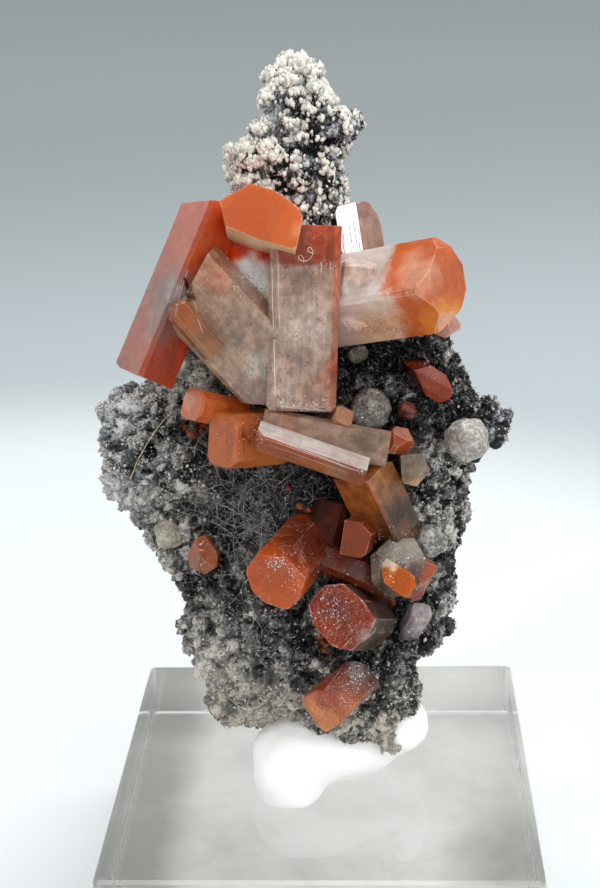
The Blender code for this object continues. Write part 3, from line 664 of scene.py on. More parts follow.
def make_crystals():
    """The topaz crystals, each a piece of its own with worn edges painted paler as highlights."""
    pieces = []
    for node, members in CRYSTAL_GROUPS.items():
        for crystal in members:
            look = LOOKS[crystal.name]
            place = crystal.frame()
            place.translation *= MM
            finishes = [crystal_material(crystal, look), crystal_material(crystal, look, edge=True)]
            mesh = crystal_mesh(crystal)
            # The mirror side is painted as a glint.
            if look.mirror >= 0:
                finishes.append(painted_glint_material())
                way = crystal_planes(crystal)[2 + look.mirror][1]
                for polygon in mesh.polygons:
                    if polygon.normal.dot(way) > 0.99:
                        polygon.material_index = 2
            made = piece(crystal.name, mesh, SPECIMEN @ place, [node], finishes)
            ease = made.modifiers.new("Ease edges", "BEVEL")
            ease.width = look.ease * MM
            ease.segments = 2 if look.ease < 0.1 else 4
            ease.limit_method = "NONE"
            ease.harden_normals = True
            ease.material = 1
            pieces.append(made)
    return pieces


def first_hit(tree, x, z):
    """What a line at an x and z, away from the viewer, first meets in a tree of faces."""
    return tree.ray_cast(Vector((x, BEFORE, z)), -VIEWER)


def surface_of(pieces):
    """A function that gives the place and normal where a line at an x and z first meets the pieces."""
    graph = bpy.context.evaluated_depsgraph_get()
    points, faces = [], []
    for made in pieces:
        mesh = made.evaluated_get(graph).to_mesh()
        to_specimen = SPECIMEN.inverted() @ made.matrix_world
        start = len(points)
        points += [to_specimen @ vert.co / MM for vert in mesh.vertices]
        faces += [[start + index for index in polygon.vertices] for polygon in mesh.polygons]
    tree = BVHTree.FromPolygons(points, faces)

    def meets(x, z):
        place, normal, _, _ = first_hit(tree, x, z)
        return (place, normal) if place else None

    return meets


# Frost of tiny grains on the crystals and balls: two tones, then x, z, spread along x and z, and number
FROST = {
    "pale_frost": (("a89890", "ffffff"), [
        (-3.85, 20.5, 0.55, 0.35, 200), (-2.8, 19.3, 0.25, 0.6, 60), (-3.6, 19.2, 1.6, 1.6, 70),
        (-0.3, 16.8, 1.2, 0.8, 340), (0.9, 10.6, 0.7, 0.7, 420), (1.5, 11.2, 0.5, 0.5, 220),
        (-5.6, 39.7, 0.6, 0.7, 420), (1.9, 26.5, 0.25, 0.15, 30), (-9.3, 20.5, 0.5, 0.7, 90),
        (0.7, 18.5, 1.6, 0.8, 90), (4.2, 20.2, 0.9, 0.8, 260), (-0.8, 40.2, 1.3, 0.2, 50),
        (-10.2, 38.4, 0.6, 1.2, 30), (5.5, 14.3, 0.6, 1.1, 160), (6.7, 32.7, 0.6, 0.6, 30),
        (-6.6, 28.6, 0.9, 1.0, 50), (-9.4, 31.0, 0.5, 0.5, 25), (-1.5, 30.9, 1.5, 0.2, 260),
        (-5.1, 29.3, 0.3, 0.5, 120), (3.4, 37.6, 1.2, 0.9, 130), (2.6, 30.4, 0.9, 0.9, 120),
        (9.3, 28.2, 0.9, 0.9, 160), (6.8, 20.9, 0.7, 0.7, 140), (-12.3, 20.9, 0.8, 0.8, 120),
    ]),
    "rust_frost": (("6c2c14", "b88058"), [
        (0.9, 14.9, 0.9, 0.6, 120), (0.0, 16.4, 1.1, 0.9, 220), (-0.3, 9.3, 0.8, 0.5, 60),
        (-1.2, 21.7, 1.2, 1.5, 70), (-2.3, 29.7, 1.6, 0.4, 110), (-1.2, 31.2, 1.5, 0.2, 90),
        (-3.4, 34.0, 0.2, 2.5, 80), (3.4, 36.0, 1.6, 0.35, 420), (-4.8, 38.2, 0.4, 0.7, 160),
        (0.6, 31.0, 0.6, 0.6, 60),
    ]),
}


def make_frost(meets):
    """Tiny grains on the crystals and balls, in one mesh for each pair of tones."""
    rng = np.random.default_rng(21)
    for name, (tones, patches) in FROST.items():
        found = []
        for x, z, wide, high, count in patches:
            found += [meets(*at) for at in rng.normal((x, z), (wide, high), (count, 2))]
        found = [hit for hit in found if hit]
        places, ways = (np.array([hit[side] for hit in found]) for side in (0, 1))
        sizes = 0.015 + 0.05 * rng.random((len(places), 1)) ** 4
        sizes = sizes * rng.uniform(0.6, 1.6, (len(places), 3))
        mesh = scatter_mesh(name, form_of("sharp"), places, ways + 0.6 * rng.normal(size=ways.shape), sizes,
                            rng.random(len(places)), rng)
        strew(mesh, "quartz", name, *tones, 0.2)


# Thin pale ridges painted white as highlights on the crystals' edges and faces, and dark lines for cracks and
# for a
# painted shadow, on the crystals: two tones, then x and z of both ends and radius
HIGHLIGHTS_AND_CRACKS = {
    "pale_ridges": (("e4d4c8", "ffffff"), [
        (-3.95, 40.6, -3.85, 31.5, 0.025), (-3.5, 41.2, -3.5, 36.1, 0.012),
        (-0.6, 40.6, -0.6, 39.9, 0.015), (0.0, 40.6, 0.0, 40.0, 0.015), (-9.7, 40.2, -10.4, 38.2, 0.02),
        (-9.3, 38.2, -8.6, 36.0, 0.01), (2.45, 40.2, 2.9, 38.9, 0.015), (-4.1, 28.9, 1.8, 26.5, 0.02),
        (-3.9, 28.65, 1.5, 26.55, 0.012), (-4.3, 28.4, 1.2, 26.3, 0.01), (-3.6, 30.9, -0.4, 30.5, 0.02),
        (-0.9, 10.7, 0.3, 11.5, 0.01),
    ]),
    "dark_cracks": (("341008", "5c2414"), [
        # The first two are cracks in the block; the last, wide one is a painted shadow in the slit beside the
        # left prism.
        (-6.2, 30.1, -6.1, 27.3, 0.02), (-5.4, 30.0, -5.3, 27.3, 0.015), (-9.95, 39.7, -9.6, 38.3, 0.13),
    ]),
}


def make_highlights_and_cracks(meets):
    """The painted highlights, the cracks and the painted slit shadow, as thin tubes that follow the crystals'
    faces.
    """
    rng = np.random.default_rng(33)
    steps = np.linspace(0, 1, 8)
    for name, (tones, lines) in HIGHLIGHTS_AND_CRACKS.items():
        paths, radii = [], []
        for x0, z0, x1, z1, radius in lines:
            route = np.stack([x0 + (x1 - x0) * steps, z0 + (z1 - z0) * steps], 1)
            found = [meets(*at) for at in route + rng.normal(0, 0.006, (8, 2))]
            if all(found):
                paths.append([hit[0] for hit in found])
                radii.append(radius)
        strew(tube_mesh(name, np.array(paths), np.array(radii), rng), "topaz", name, *tones, 0.1)


# ---------------------------------------------------------------- rock


# How the rock looks at places on its front: x, z, paleness from 0, black, to 1, white, and contrast of grain
ROCK_TONES = [
    (-2.5, 54.0, 0.9, 0.6), (-6.5, 48.0, 0.8, 0.7), (-1.0, 49.0, 0.4, 1.2), (-0.5, 45.5, 0.66, 1.2),
    (2.0, 50.0, 0.6, 1.0), (-16.0, 29.0, 1.12, 0.7), (-13.0, 27.0, 0.56, 1.0), (-11.0, 31.0, 0.85, 0.8),
    (-14.5, 24.5, 1.05, 0.6), (-10.5, 28.0, 0.4, 0.9), (-12.0, 21.0, 0.9, 0.5), (-7.0, 25.0, 0.05, 0.5),
    (-8.5, 18.5, 0.25, 1.0), (-9.5, 14.5, 0.56, 0.7), (-4.0, 23.0, 0.04, 0.4), (4.0, 33.0, 0.15, 0.9),
    (0.5, 25.0, 0.0, 0.3), (8.0, 30.5, 0.22, 1.2), (11.5, 28.5, 0.6, 1.0), (9.3, 24.0, 0.58, 1.1),
    (8.5, 19.0, 0.5, 1.0), (-9.0, 11.0, 1.0, 0.3), (-5.0, 8.0, 0.92, 0.25), (-2.0, 13.0, 0.27, 1.0),
    (5.0, 10.0, 0.55, 0.9), (2.0, 6.5, 0.6, 0.8), (3.5, 4.5, 1.05, 0.4), (4.8, 14.0, 0.08, 0.8),
    (7.5, 13.5, 0.66, 0.6), (1.0, 20.0, 0.0, 0.4), (-1.5, 23.5, 0.0, 0.3), (-11.5, 24.0, 0.9, 0.6),
    (-10.3, 21.2, 0.35, 0.9), (-6.7, 16.5, 0.42, 0.9), (-4.6, 14.3, 0.52, 0.9), (-2.4, 12.0, 0.5, 0.9),
    (-6.8, 12.0, 0.72, 0.4), (-7.2, 9.5, 0.8, 0.3), (8.8, 22.8, 0.85, 0.9), (-5.8, 10.7, 0.45, 0.6),
]
BACK_TONE = (0.45, 0.9)

SPIRE_FOOT = 43.0
BIG_LUMP, SMALL_LUMP = 1.9, 0.75


def rock_tones(points):
    """The rock's paleness and contrast at points in the specimen's frame."""
    spots = np.array(ROCK_TONES)
    away = (points[:, None, 0] - spots[None, :, 0]) ** 2 + (points[:, None, 2] - spots[None, :, 1]) ** 2
    weight = 1 / (away + 1.5) ** 1.6
    front = weight @ spots[:, 2:] / weight.sum(1, keepdims=True)
    behind = np.clip((points[:, 1:2] - 0.5) / 3, 0, 1)
    return front * (1 - behind) + np.array([BACK_TONE]) * behind


def warmth(points):
    """How beige, above 0, or bluish, below 0, the rock is at points in the specimen's frame; the bluish part
    is partly the rock's grey and partly a painted cool tint of shade.
    """
    x, _, z = points.T
    beige = np.clip((13 - z) / 5, 0, 1)
    bluish = np.clip(np.maximum((-10 - x) / 9 * (z > 20), (z - 42) / 3), 0, 1) + np.clip((x - 9) / 2, 0, 1)
    return beige - bluish


def rock_material():
    """Black, grey and pale by the rock's paleness, with grain by its contrast, and darker in the gaps between
    lumps: partly the rock's own dark, partly painted shade.
    """
    t = Tree("rock")
    medium, fine, patch = t.noise(2.6, 4, 0.75), t.noise(6.0, 2, 0.7), t.noise(0.7, 3, 0.6)
    pale, warm = t.value_of("pale"), t.value_of("warmth")
    grain = t.maths("ADD", t.around(medium, 1.8), t.around(fine, 1.4))
    grain = t.maths("ADD", grain, t.around(patch, 0.9))
    grain = t.maths("ADD", grain, t.around(t.value_of("tone"), 0.9))
    level = t.maths("MULTIPLY_ADD", grain, t.value_of("contrast"), pale)
    # Painted shade, in part: the lower places between lumps are darkened.
    shaded = t.maths("MULTIPLY_ADD", pale, 0.5, 0.2)
    level = t.maths("MULTIPLY", level, t.span(t.value_of("height"), -0.1, 0.55, shaded, 1.15))
    # The bluish tones stand partly for the cool tint of shade, painted in.
    cold = t.span(warm, -1.0, 0.0)
    light = t.mix(t.span(warm, 0.0, 1.0), t.mix(cold, "d8dade", "e0dcd4"), "d6ccbe")
    dark = t.mix(t.span(level, -0.1, 0.4), "040406", t.mix(cold, "5c6268", "646460"))
    bumped = t.bump(fine, 1.0, 0.1, t.bump(medium, 0.8, 0.25))
    rough = t.span(t.cells(4.0, out="Color"), 0.1, 0.9, 0.12, 0.7)
    t.principled(Base_Color=t.mix(t.span(level, 0.3, 1.0), dark, light), Roughness=rough, Normal=bumped)
    return t.material


def cobble(at, size):
    """Height, from 0 in the gaps to 1, and random tone of the rounded lumps of a size at a place."""
    distances, centres = noise.voronoi(at / size)
    height = min(1.0, (distances[1] - distances[0]) / 0.45)
    return math.sin(height * math.pi / 2), noise.cell(centres[0] * 57.0)


def make_rock():
    """The rock: the solid's form, covered in lumps of two sizes."""
    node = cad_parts["matrix_rock"]
    mesh = node.data.copy()
    mesh.transform(SPECIMEN.inverted())
    mesh.materials.clear()
    rock = piece("rock_skin", mesh, SPECIMEN, ["matrix_rock"])
    skin_over(rock)
    settle(rock)
    mesh = rock.data
    points, normals = skin_of(mesh)
    pale, contrast = rock_tones(points).T
    heights, peaks, tones = (np.empty(len(points)) for _ in range(3))
    noise.seed_set(4)
    for index, point in enumerate(points):
        at = Vector(point)
        bent = at + 0.35 * noise.noise_vector(at / 0.8)
        big, big_tone = cobble(bent, BIG_LUMP)
        small, small_tone = cobble(bent, SMALL_LUMP)
        swell = 0.25 + 0.6 * pale[index]
        slimmer = 0.4 * min(1.0, max(0.0, (at.z - SPIRE_FOOT) / 2))
        heights[index] = (swell * (big - 0.6) + 0.42 * (small - 0.6) + 0.12 * noise.noise(at / 0.28)
                          + 0.35 * noise.noise(at / 3.5) - slimmer)
        peaks[index] = 0.45 * big + 0.55 * small
        tones[index] = 0.4 * big_tone + 0.6 * small_tone
    mesh.vertices.foreach_set("co", ((points + normals * heights[:, None]) * MM).ravel())
    values = {"height": peaks, "tone": tones, "pale": pale, "contrast": contrast, "warmth": warmth(points)}
    for name, level in values.items():
        mesh.attributes.new(name, "FLOAT", "POINT").data.foreach_set("value", level)
    mesh.update()
    mesh.materials.append(rock_material())
    return rock


# ---------------------------------------------------------------- grains, needles and hairs on the rock

# The popcorn thickens above a level and over a lobe. A nub, given as its left, right and foot, stays almost
# bare.
POPCORN_TOP = 51.2
LOBE_RIGHT, LOBE_FOOT, LOBE_TOP = -3.6, 46.0, 48.9
NUB = (1.3, 2.3, 47.5)

CRYSTAL_MARGIN = 0.05
FLAKE_DEPTH = 0.3
HAIR_SIDES = 3
HAIR_STEPS = 6

# Crumbs of topaz: x, z, spread, number
CRUMBS = [(-10.0, 28.6, 0.45, 12), (-1.6, 22.8, 0.8, 10), (3.2, 16.2, 0.7, 8), (-0.9, 12.9, 0.5, 5)]


def array_mesh(name, points, faces, shade):
    """A mesh of equal-sided faces from arrays, in millimetres, with a shade from 0 to 1 at each point."""
    mesh = bpy.data.meshes.new(name)
    mesh.vertices.add(len(points))
    mesh.vertices.foreach_set("co", (points * MM).ravel())
    mesh.loops.add(faces.size)
    mesh.loops.foreach_set("vertex_index", faces.ravel())
    mesh.polygons.add(len(faces))
    mesh.polygons.foreach_set("loop_start", np.arange(0, faces.size, faces.shape[1]))
    mesh.update(calc_edges=True)
    mesh.attributes.new("shade", "FLOAT", "POINT").data.foreach_set("value", shade)
    return mesh


def form_of(kind):
    """Points and triangles of a small form: a rounded grain, a sharp one, or a needle along z."""
    bm = bmesh.new()
    if kind == "round":
        bmesh.ops.create_icosphere(bm, subdivisions=1, radius=1.0)
    elif kind == "sharp":
        bmesh.ops.create_uvsphere(bm, u_segments=4, v_segments=2, radius=1.0)
    else:
        bmesh.ops.create_cone(bm, cap_ends=True, segments=3, radius1=1.0, radius2=0.4, depth=1.0)
        bmesh.ops.translate(bm, vec=(0, 0, 0.5), verts=bm.verts)
    bmesh.ops.triangulate(bm, faces=bm.faces)
    bm.verts.index_update()
    points = np.array([v.co[:] for v in bm.verts])
    faces = np.array([[v.index for v in f.verts] for f in bm.faces])
    bm.free()
    return points, faces


def unit(vectors):
    """The vectors, each made one long."""
    return vectors / np.linalg.norm(vectors, axis=-1, keepdims=True)


def scatter_mesh(name, form, places, ways, sizes, shades, rng):
    """Many copies of a form in one mesh, each with its z along its way and its own x, y, z size and shade."""
    points, faces = form
    z = unit(ways)
    x = unit(np.cross(rng.normal(size=z.shape), z))
    y = np.cross(z, x)
    turned = np.stack([x, y, z], axis=1)
    jitter = 1 + 0.25 * rng.normal(size=(len(places), len(points), 1))
    spread = (points[None] * jitter.clip(0.5, 1.5) * sizes[:, None]) @ turned + places[:, None]
    joined = faces[None] + (np.arange(len(places)) * len(points))[:, None, None]
    return array_mesh(name, spread.reshape(-1, 3), joined.reshape(-1, 3), np.repeat(shades, len(points)))


def spots_on(rock, count, weigh, rng):
    """Random places on the rock where the weight allows, with the normals there.

    weigh gives the weight from places, normals, and how near they are to the tops of the lumps.
    """
    points, _ = skin_of(rock.data)
    rock.data.calc_loop_triangles()
    corners = np.empty(len(rock.data.loop_triangles) * 3, np.int32)
    rock.data.loop_triangles.foreach_get("vertices", corners)
    corners = corners.reshape(-1, 3)
    a, b, c = (points[corners[:, i]] for i in range(3))
    crossed = np.cross(b - a, c - a)
    area = np.linalg.norm(crossed, axis=1) / 2
    middle, normal = (a + b + c) / 3, unit(crossed + 1e-12)
    peak = np.empty(len(points))
    rock.data.attributes["height"].data.foreach_get("value", peak)
    weight = area * weigh(middle, normal, peak[corners].mean(1))
    picked = rng.choice(len(area), count, p=weight / weight.sum())
    u, v = rng.random((2, count, 1))
    flip = u + v > 1
    u, v = np.where(flip, 1 - u, u), np.where(flip, 1 - v, v)
    places = a[picked] + u * (b - a)[picked] + v * (c - a)[picked]
    return places, normal[picked]


def standing_out(crystal, points):
    """How far points in a crystal's own frame stand out from its faces, less than 0 inside it."""
    gap = np.full(len(points), -np.inf)
    for point, normal in crystal_planes(crystal):
        gap = np.maximum(gap, (points - np.array(point)) @ np.array(normal.normalized()))
    return gap


def outside_crystals(points):
    """True for the points that stand clear of every crystal."""
    outside = np.ones(len(points), bool)
    for crystal in CRYSTALS:
        own = crystal.frame().inverted()
        local = points @ np.array(own.to_3x3()).T + np.array(own.translation)
        outside &= standing_out(crystal, local) > CRYSTAL_MARGIN
    return outside


def make_flakes():
    """Cloudy flakes inside the crystals: small thin scales at random places and angles."""
    rng = np.random.default_rng(8)
    all_places, all_ways, all_shades = [], [], []
    for crystal in CRYSTALS:
        own, reach = crystal.frame(), crystal.reach
        count = int(LOOKS[crystal.name].flakes * 4 * reach ** 2 * crystal.length)
        points = rng.uniform((-reach, -reach, 0), (reach, reach, crystal.length), (count, 3))
        points = points[standing_out(crystal, points) < -FLAKE_DEPTH]
        all_places.append(points @ np.array(own.to_3x3()).T + np.array(own.translation))
        all_ways.append(rng.normal(size=points.shape))
        all_shades.append(rng.random(len(points)))
    places, ways, shades = map(np.concatenate, (all_places, all_ways, all_shades))
    spread = rng.random(len(places)) ** 2.5
    sizes = np.stack([0.05 + 0.35 * spread, 0.04 + 0.2 * spread, np.full(len(places), 0.012)], 1)
    mesh = scatter_mesh("inner_flakes", form_of("sharp"), places, ways, sizes, shades, rng)
    t = Tree("inner_flake")
    colour = t.mix(t.span(t.value_of("shade"), 0.03, 0.06), "6a5646", "fff0e0")
    t.principled(Base_Color=colour, Roughness=0.5)
    piece("inner_flakes", mesh, SPECIMEN, materials=[t.material])


def strew(mesh, slot, finish, dark, light, rough, clear=0.0):
    """A piece named as its mesh, in a finish that goes from dark to light by the mesh's shade."""
    t = Tree(finish)
    colour = t.mix(t.value_of("shade"), dark, light)
    colour = t.mix(t.span(t.noise(9.0, 2), 0.55, 0.7, 0, 0.4), colour, "55504a")
    t.principled(Base_Color=colour, Roughness=rough, Normal=t.bump(t.noise(12.0, 2), 0.4, 0.03),
                 Transmission_Weight=clear)
    piece(mesh.name, mesh, SPECIMEN, materials=[t.material])


def clumps(points, size):
    """Soft random patches of about the size given, from 0 to 1."""
    return np.clip([0.5 + 1.6 * noise.noise(Vector(point) / size) for point in points], 0, 1)


def make_popcorn(rock, rng):
    """Rounded white lumps on the spire: on its top, on the lobe at its left and in tufts below them."""
    def coat(points, normals, peak):
        x, _, z = points.T
        lobe = np.clip((LOBE_RIGHT - x) / 1.5, 0, 1) * np.clip(z - LOBE_FOOT, 0, 1) * (z < LOBE_TOP)
        nub = (x > NUB[0]) * (x < NUB[1]) * (z > NUB[2]) * (z < POPCORN_TOP)
        top = np.clip((z - POPCORN_TOP) / 1.2, 0, 1) * (1 - nub) + lobe + 0.15 * (z < 46.2)
        upward = np.clip(0.35 + normals[:, 2] + 0.4 * top, 0, 1)
        tufts = np.clip((clumps(points * (1, 1, 1.6), 1.1) - 0.5) / 0.25, 0, 1)
        rising = np.clip((z - SPIRE_FOOT + 3) / 5, 0, 1) ** 2
        peaked = np.clip((peak - 0.3) / 0.4, 0.02, 1)
        return rising * (1 - 0.75 * nub) * upward * peaked * (tufts + 0.02 + 0.7 * top)

    places, ways = spots_on(rock, 7500, coat, rng)
    sizes = rng.uniform(0.08, 0.21, (len(places), 1)) * np.array([[1, 1, 1.5]])
    mesh = scatter_mesh("spire_popcorn", form_of("round"), places + ways * 0.05, ways + (0, 0, 1.2), sizes,
                        rng.uniform(0.2, 1, len(places)), rng)
    mesh.shade_smooth()
    strew(mesh, "rock", "popcorn", "a4a098", "fffaee", 0.5)


def make_pale_grains(rock, rng):
    """Sharp pale grains, most where the rock is pale."""
    def pale(points, normals, peak):
        paleness = np.clip(rock_tones(points)[:, 0] + 0.04, 0.02, 1)
        return paleness ** 1.5 * (0.15 + peak) ** 2 * clumps(points, 1.2)

    places, ways = spots_on(rock, 22000, pale, rng)
    keep = outside_crystals(places)
    places, ways = places[keep], ways[keep]
    sizes = (0.04 + 0.13 * rng.random((len(places), 1)) ** 2) * rng.uniform(0.6, 1.5, (len(places), 3))
    ways_out = ways + rng.normal(size=ways.shape)
    shades = np.clip(0.8 * rock_tones(places)[:, 0] + rng.normal(0, 0.25, len(places)), 0, 1)
    mesh = scatter_mesh("pale_grains", form_of("sharp"), places + ways * 0.03, ways_out, sizes, shades, rng)
    strew(mesh, "rock", "pale_grain", "565450", "efe8de", 0.1, 0.25)


def make_needles(rock, rng):
    """Dark needles: upright on the spire, at all angles where the rock below is dark."""
    def dark(points, normals, peak):
        tone = rock_tones(points)[:, 0]
        spire = points[:, 2] > SPIRE_FOOT
        front = np.clip(-normals[:, 1] * 1.5, 0.05, 1)
        return np.where(spire, 0.35, np.clip(0.85 - 0.95 * tone, 0.12, 1) * front)

    places, ways = spots_on(rock, 23000, dark, rng)
    keep = outside_crystals(places)
    places, ways = places[keep], ways[keep]
    spire = places[:, 2:3] > SPIRE_FOOT
    ways = np.where(spire, ways + (0, 0, 2.2) + 0.4 * rng.normal(size=ways.shape),
                    ways + 1.1 * rng.normal(size=ways.shape))
    thick, long = rng.uniform(0.018, 0.04, len(places)), rng.uniform(0.12, 0.42, len(places))
    mesh = scatter_mesh("dark_needles", form_of("needle"), places - unit(ways) * 0.05, ways,
                        np.stack([thick, thick, long], 1), rng.random(len(places)) ** 3, rng)
    strew(mesh, "rock", "needle", "060608", "dcdcdc", 0.15)


def make_grains(rock):
    """What covers the rock, all drawn from one run of random numbers."""
    rng = np.random.default_rng(11)
    for make in (make_popcorn, make_pale_grains, make_needles):
        make(rock, rng)


def tube_mesh(name, paths, radii, rng):
    """Tubes along paths of equal count, as one mesh."""
    along = unit(np.gradient(paths, axis=1) + 1e-9)
    side = unit(np.cross(along, (0.3, 0.9, 0.2)))
    up = np.cross(along, side)
    count, steps = paths.shape[:2]
    taper = np.interp(np.arange(steps), (0, 1, steps - 2, steps - 1), (0.5, 1, 1, 0.3))
    rings = []
    for k in range(HAIR_SIDES):
        angle = 2 * math.pi * k / HAIR_SIDES
        offset = math.cos(angle) * side + math.sin(angle) * up
        rings.append(paths + offset * (radii[:, None] * taper)[..., None])
    points = np.stack(rings, axis=2)
    index = np.arange(points[..., 0].size).reshape(count, steps, HAIR_SIDES)
    following = np.roll(index, -1, axis=2)
    quads = np.stack([index[:, :-1], following[:, :-1], following[:, 1:], index[:, 1:]], axis=-1)
    shade = np.repeat(rng.random(count) ** 1.5, steps * HAIR_SIDES)
    return array_mesh(name, points.reshape(-1, 3), quads.reshape(-1, 4), shade)


def rock_front(rock):
    """A function that gives the y of the rock's front at an x and z, or None beside it."""
    points, faces = [v.co / MM for v in rock.data.vertices], [p.vertices[:] for p in rock.data.polygons]
    tree = BVHTree.FromPolygons(points, faces)

    def front(x, z):
        place = first_hit(tree, x, z)[0]
        return place.y if place else None

    return front


def make_hairs(front):
    """Fine pale hairs that lie tangled over the hollow on the left of the rock's front."""
    rng = np.random.default_rng(5)
    paths = []
    for _ in range(900):
        x, z = rng.normal(-5.5, 3.4), rng.normal(22.5, 3.8)
        way, bend = rng.uniform(0, 2 * math.pi), rng.normal(0, 0.35)
        length, lift = 0.7 + 4.0 * rng.random() ** 2.2, rng.uniform(0.05, 0.5)
        path, step = [], length / HAIR_STEPS
        for index in range(HAIR_STEPS + 1):
            y = front(x, z)
            if y is None:
                break
            rise = lift * math.sin(math.pi * (0.15 + 0.7 * index / HAIR_STEPS))
            path.append((x, y - rise, z))
            way += bend * step + rng.normal(0, 0.12)
            x, z = x + math.cos(way) * step, z + math.sin(way) * step
        if len(path) > HAIR_STEPS:
            paths.append(path)
    paths = np.array(paths)
    for _ in range(2):
        paths[:, 1:-1, 1] = (paths[:, :-2, 1] + 2 * paths[:, 1:-1, 1] + paths[:, 2:, 1]) / 4
    keep = outside_crystals(paths.reshape(-1, 3)).reshape(len(paths), -1).all(1)
    paths = paths[keep]
    mesh = tube_mesh("rock_hairs", paths, rng.uniform(0.005, 0.012, len(paths)), rng)
    strew(mesh, "rock", "hair", "28282c", "fffcf8", 0.3)


def make_fibres(front, meets):
    """A straight yellow hair on the left shoulder, and lint curled at the foot and on the middle crystal."""
    rng = np.random.default_rng(3)
    turns = np.linspace(0, 1, 24)
    hair = [(-12.1 - 2.8 * t - 0.3 * math.sin(math.pi * t), 29.6 - 4.7 * t) for t in turns]
    curl = [(-6.9 + 1.5 * math.cos(2.6 + 3.2 * t), 8.6 + 1.1 * math.sin(2.6 + 3.2 * t)) for t in turns]
    loop = [(-5.9 + 0.5 * t + 0.3 * math.cos(14 * t), 7.9 + 0.8 * t + 0.3 * math.sin(14 * t)) for t in turns]
    top = [(-2.1 + 1.1 * t + 0.32 * math.cos(11 * t), 40.6 + 0.9 * t + 0.32 * math.sin(11 * t))
           for t in turns]

    def over(x, z):
        found = meets(x, z)
        return found[0].y if found else front(x, z)

    for name, route, surface, rise, thick, tone in (
            ("yellow_hair", hair, front, 0.25, 0.035, "d8c890"),
            ("lint_curl", curl, front, 0.25, 0.025, "e0dcd4"),
            ("lint_loop", loop, front, 0.25, 0.025, "e0dcd4"),
            ("lint_top", top, over, 0.1, 0.02, "ecdcd0")):
        depth = np.array([surface(x, z) or 0.0 for x, z in route])
        smooth = np.convolve(np.pad(depth, 4, mode="edge"), np.ones(9) / 9, "valid")
        depth = np.minimum(smooth, depth) - (rise + 0.2 * np.sin(math.pi * turns))
        path = np.array([(x, y, z) for (x, z), y in zip(route, depth)])[None]
        strew(tube_mesh(name, path, np.array([thick]), rng), "rock", name, tone, "fffaf2", 0.3)


def make_crumbs(front):
    """Crumbs of red topaz on the rock beside the knob and under the lower cluster."""
    rng = np.random.default_rng(17)
    places = []
    for x, z, spread, count in CRUMBS:
        for across, up in rng.normal((x, z), spread, (count, 2)):
            y = front(across, up)
            if y is not None:
                places.append((across, y, up))
    places = np.array(places)
    sizes = rng.uniform(0.16, 0.4, (len(places), 1)) * rng.uniform(0.7, 1.3, (len(places), 3))
    mesh = scatter_mesh("topaz_crumbs", form_of("round"), places, rng.normal(size=places.shape), sizes,
                        rng.random(len(places)), rng)
    strew(mesh, "topaz", "crumb", "5c2010", "b05c34", 0.1, 0.3)


# ---------------------------------------------------------------- balls, putty, block

# Balls on the rock: x, y, z and radius, dark and light tone, and how clear they are
BALLS = {
    "quartz_ball_middle": (2.6, -5.7, 30.1, 1.5, "5c564e", "b0a8a0", 0.35),
    "quartz_ball_upper": (1.8, -4.6, 33.9, 0.7, "484038", "8c8478", 0.3),
    "topaz_bead": (5.1, -4.9, 30.0, 0.7, "3c1c18", "8c4c3c", 0.2),
    "quartz_ball_right": (9.3, -3.7, 27.7, 1.6, "948c84", "e4dcd4", 0.2),
    "quartz_ball_lower": (6.8, -5.0, 20.6, 1.15, "686460", "d0ccc8", 0.3),
    "quartz_ball_left": (-12.4, -2.6, 20.7, 1.1, "a49e90", "dcd4c2", 0.3),
}


def make_balls():
    """The small balls of druse that stand on the rock."""
    pieces = []
    for name, (x, y, z, radius, dark, light, clear) in BALLS.items():
        t = Tree(name)
        cloud = t.maths("ADD", t.noise(1.0, 4, 0.6), t.around(t.noise(4.0, 3, 0.7), 1.0))
        t.principled(Base_Color=t.mix(t.span(cloud, 0.3, 0.8), dark, light), Transmission_Weight=clear,
                     Roughness=t.span(t.cells(5.0, out="Color"), 0.2, 0.8, 0.12, 0.6),
                     Normal=t.bump(t.noise(7.0, 3), 0.7, 0.06))
        bm = bmesh.new()
        bmesh.ops.create_icosphere(bm, subdivisions=5, radius=radius)
        for vert in bm.verts:
            at = vert.co + Vector((x, y, z))
            grain = 0.45 - noise.voronoi(at / 0.28)[0][0]
            swell = 0.1 * grain + 0.16 * noise.noise(at / 0.7) + 0.28 * noise.noise(at / 1.6) - 0.04
            vert.co += vert.co.normalized() * swell
        bmesh.ops.translate(bm, vec=(x, y, z), verts=bm.verts)
        bmesh.ops.scale(bm, vec=(MM, MM, MM), verts=bm.verts)
        mesh = mesh_of(name, bm)
        mesh.shade_smooth()
        pieces.append(piece(name + "_skin", mesh, SPECIMEN, [name], [t.material]))
    return pieces


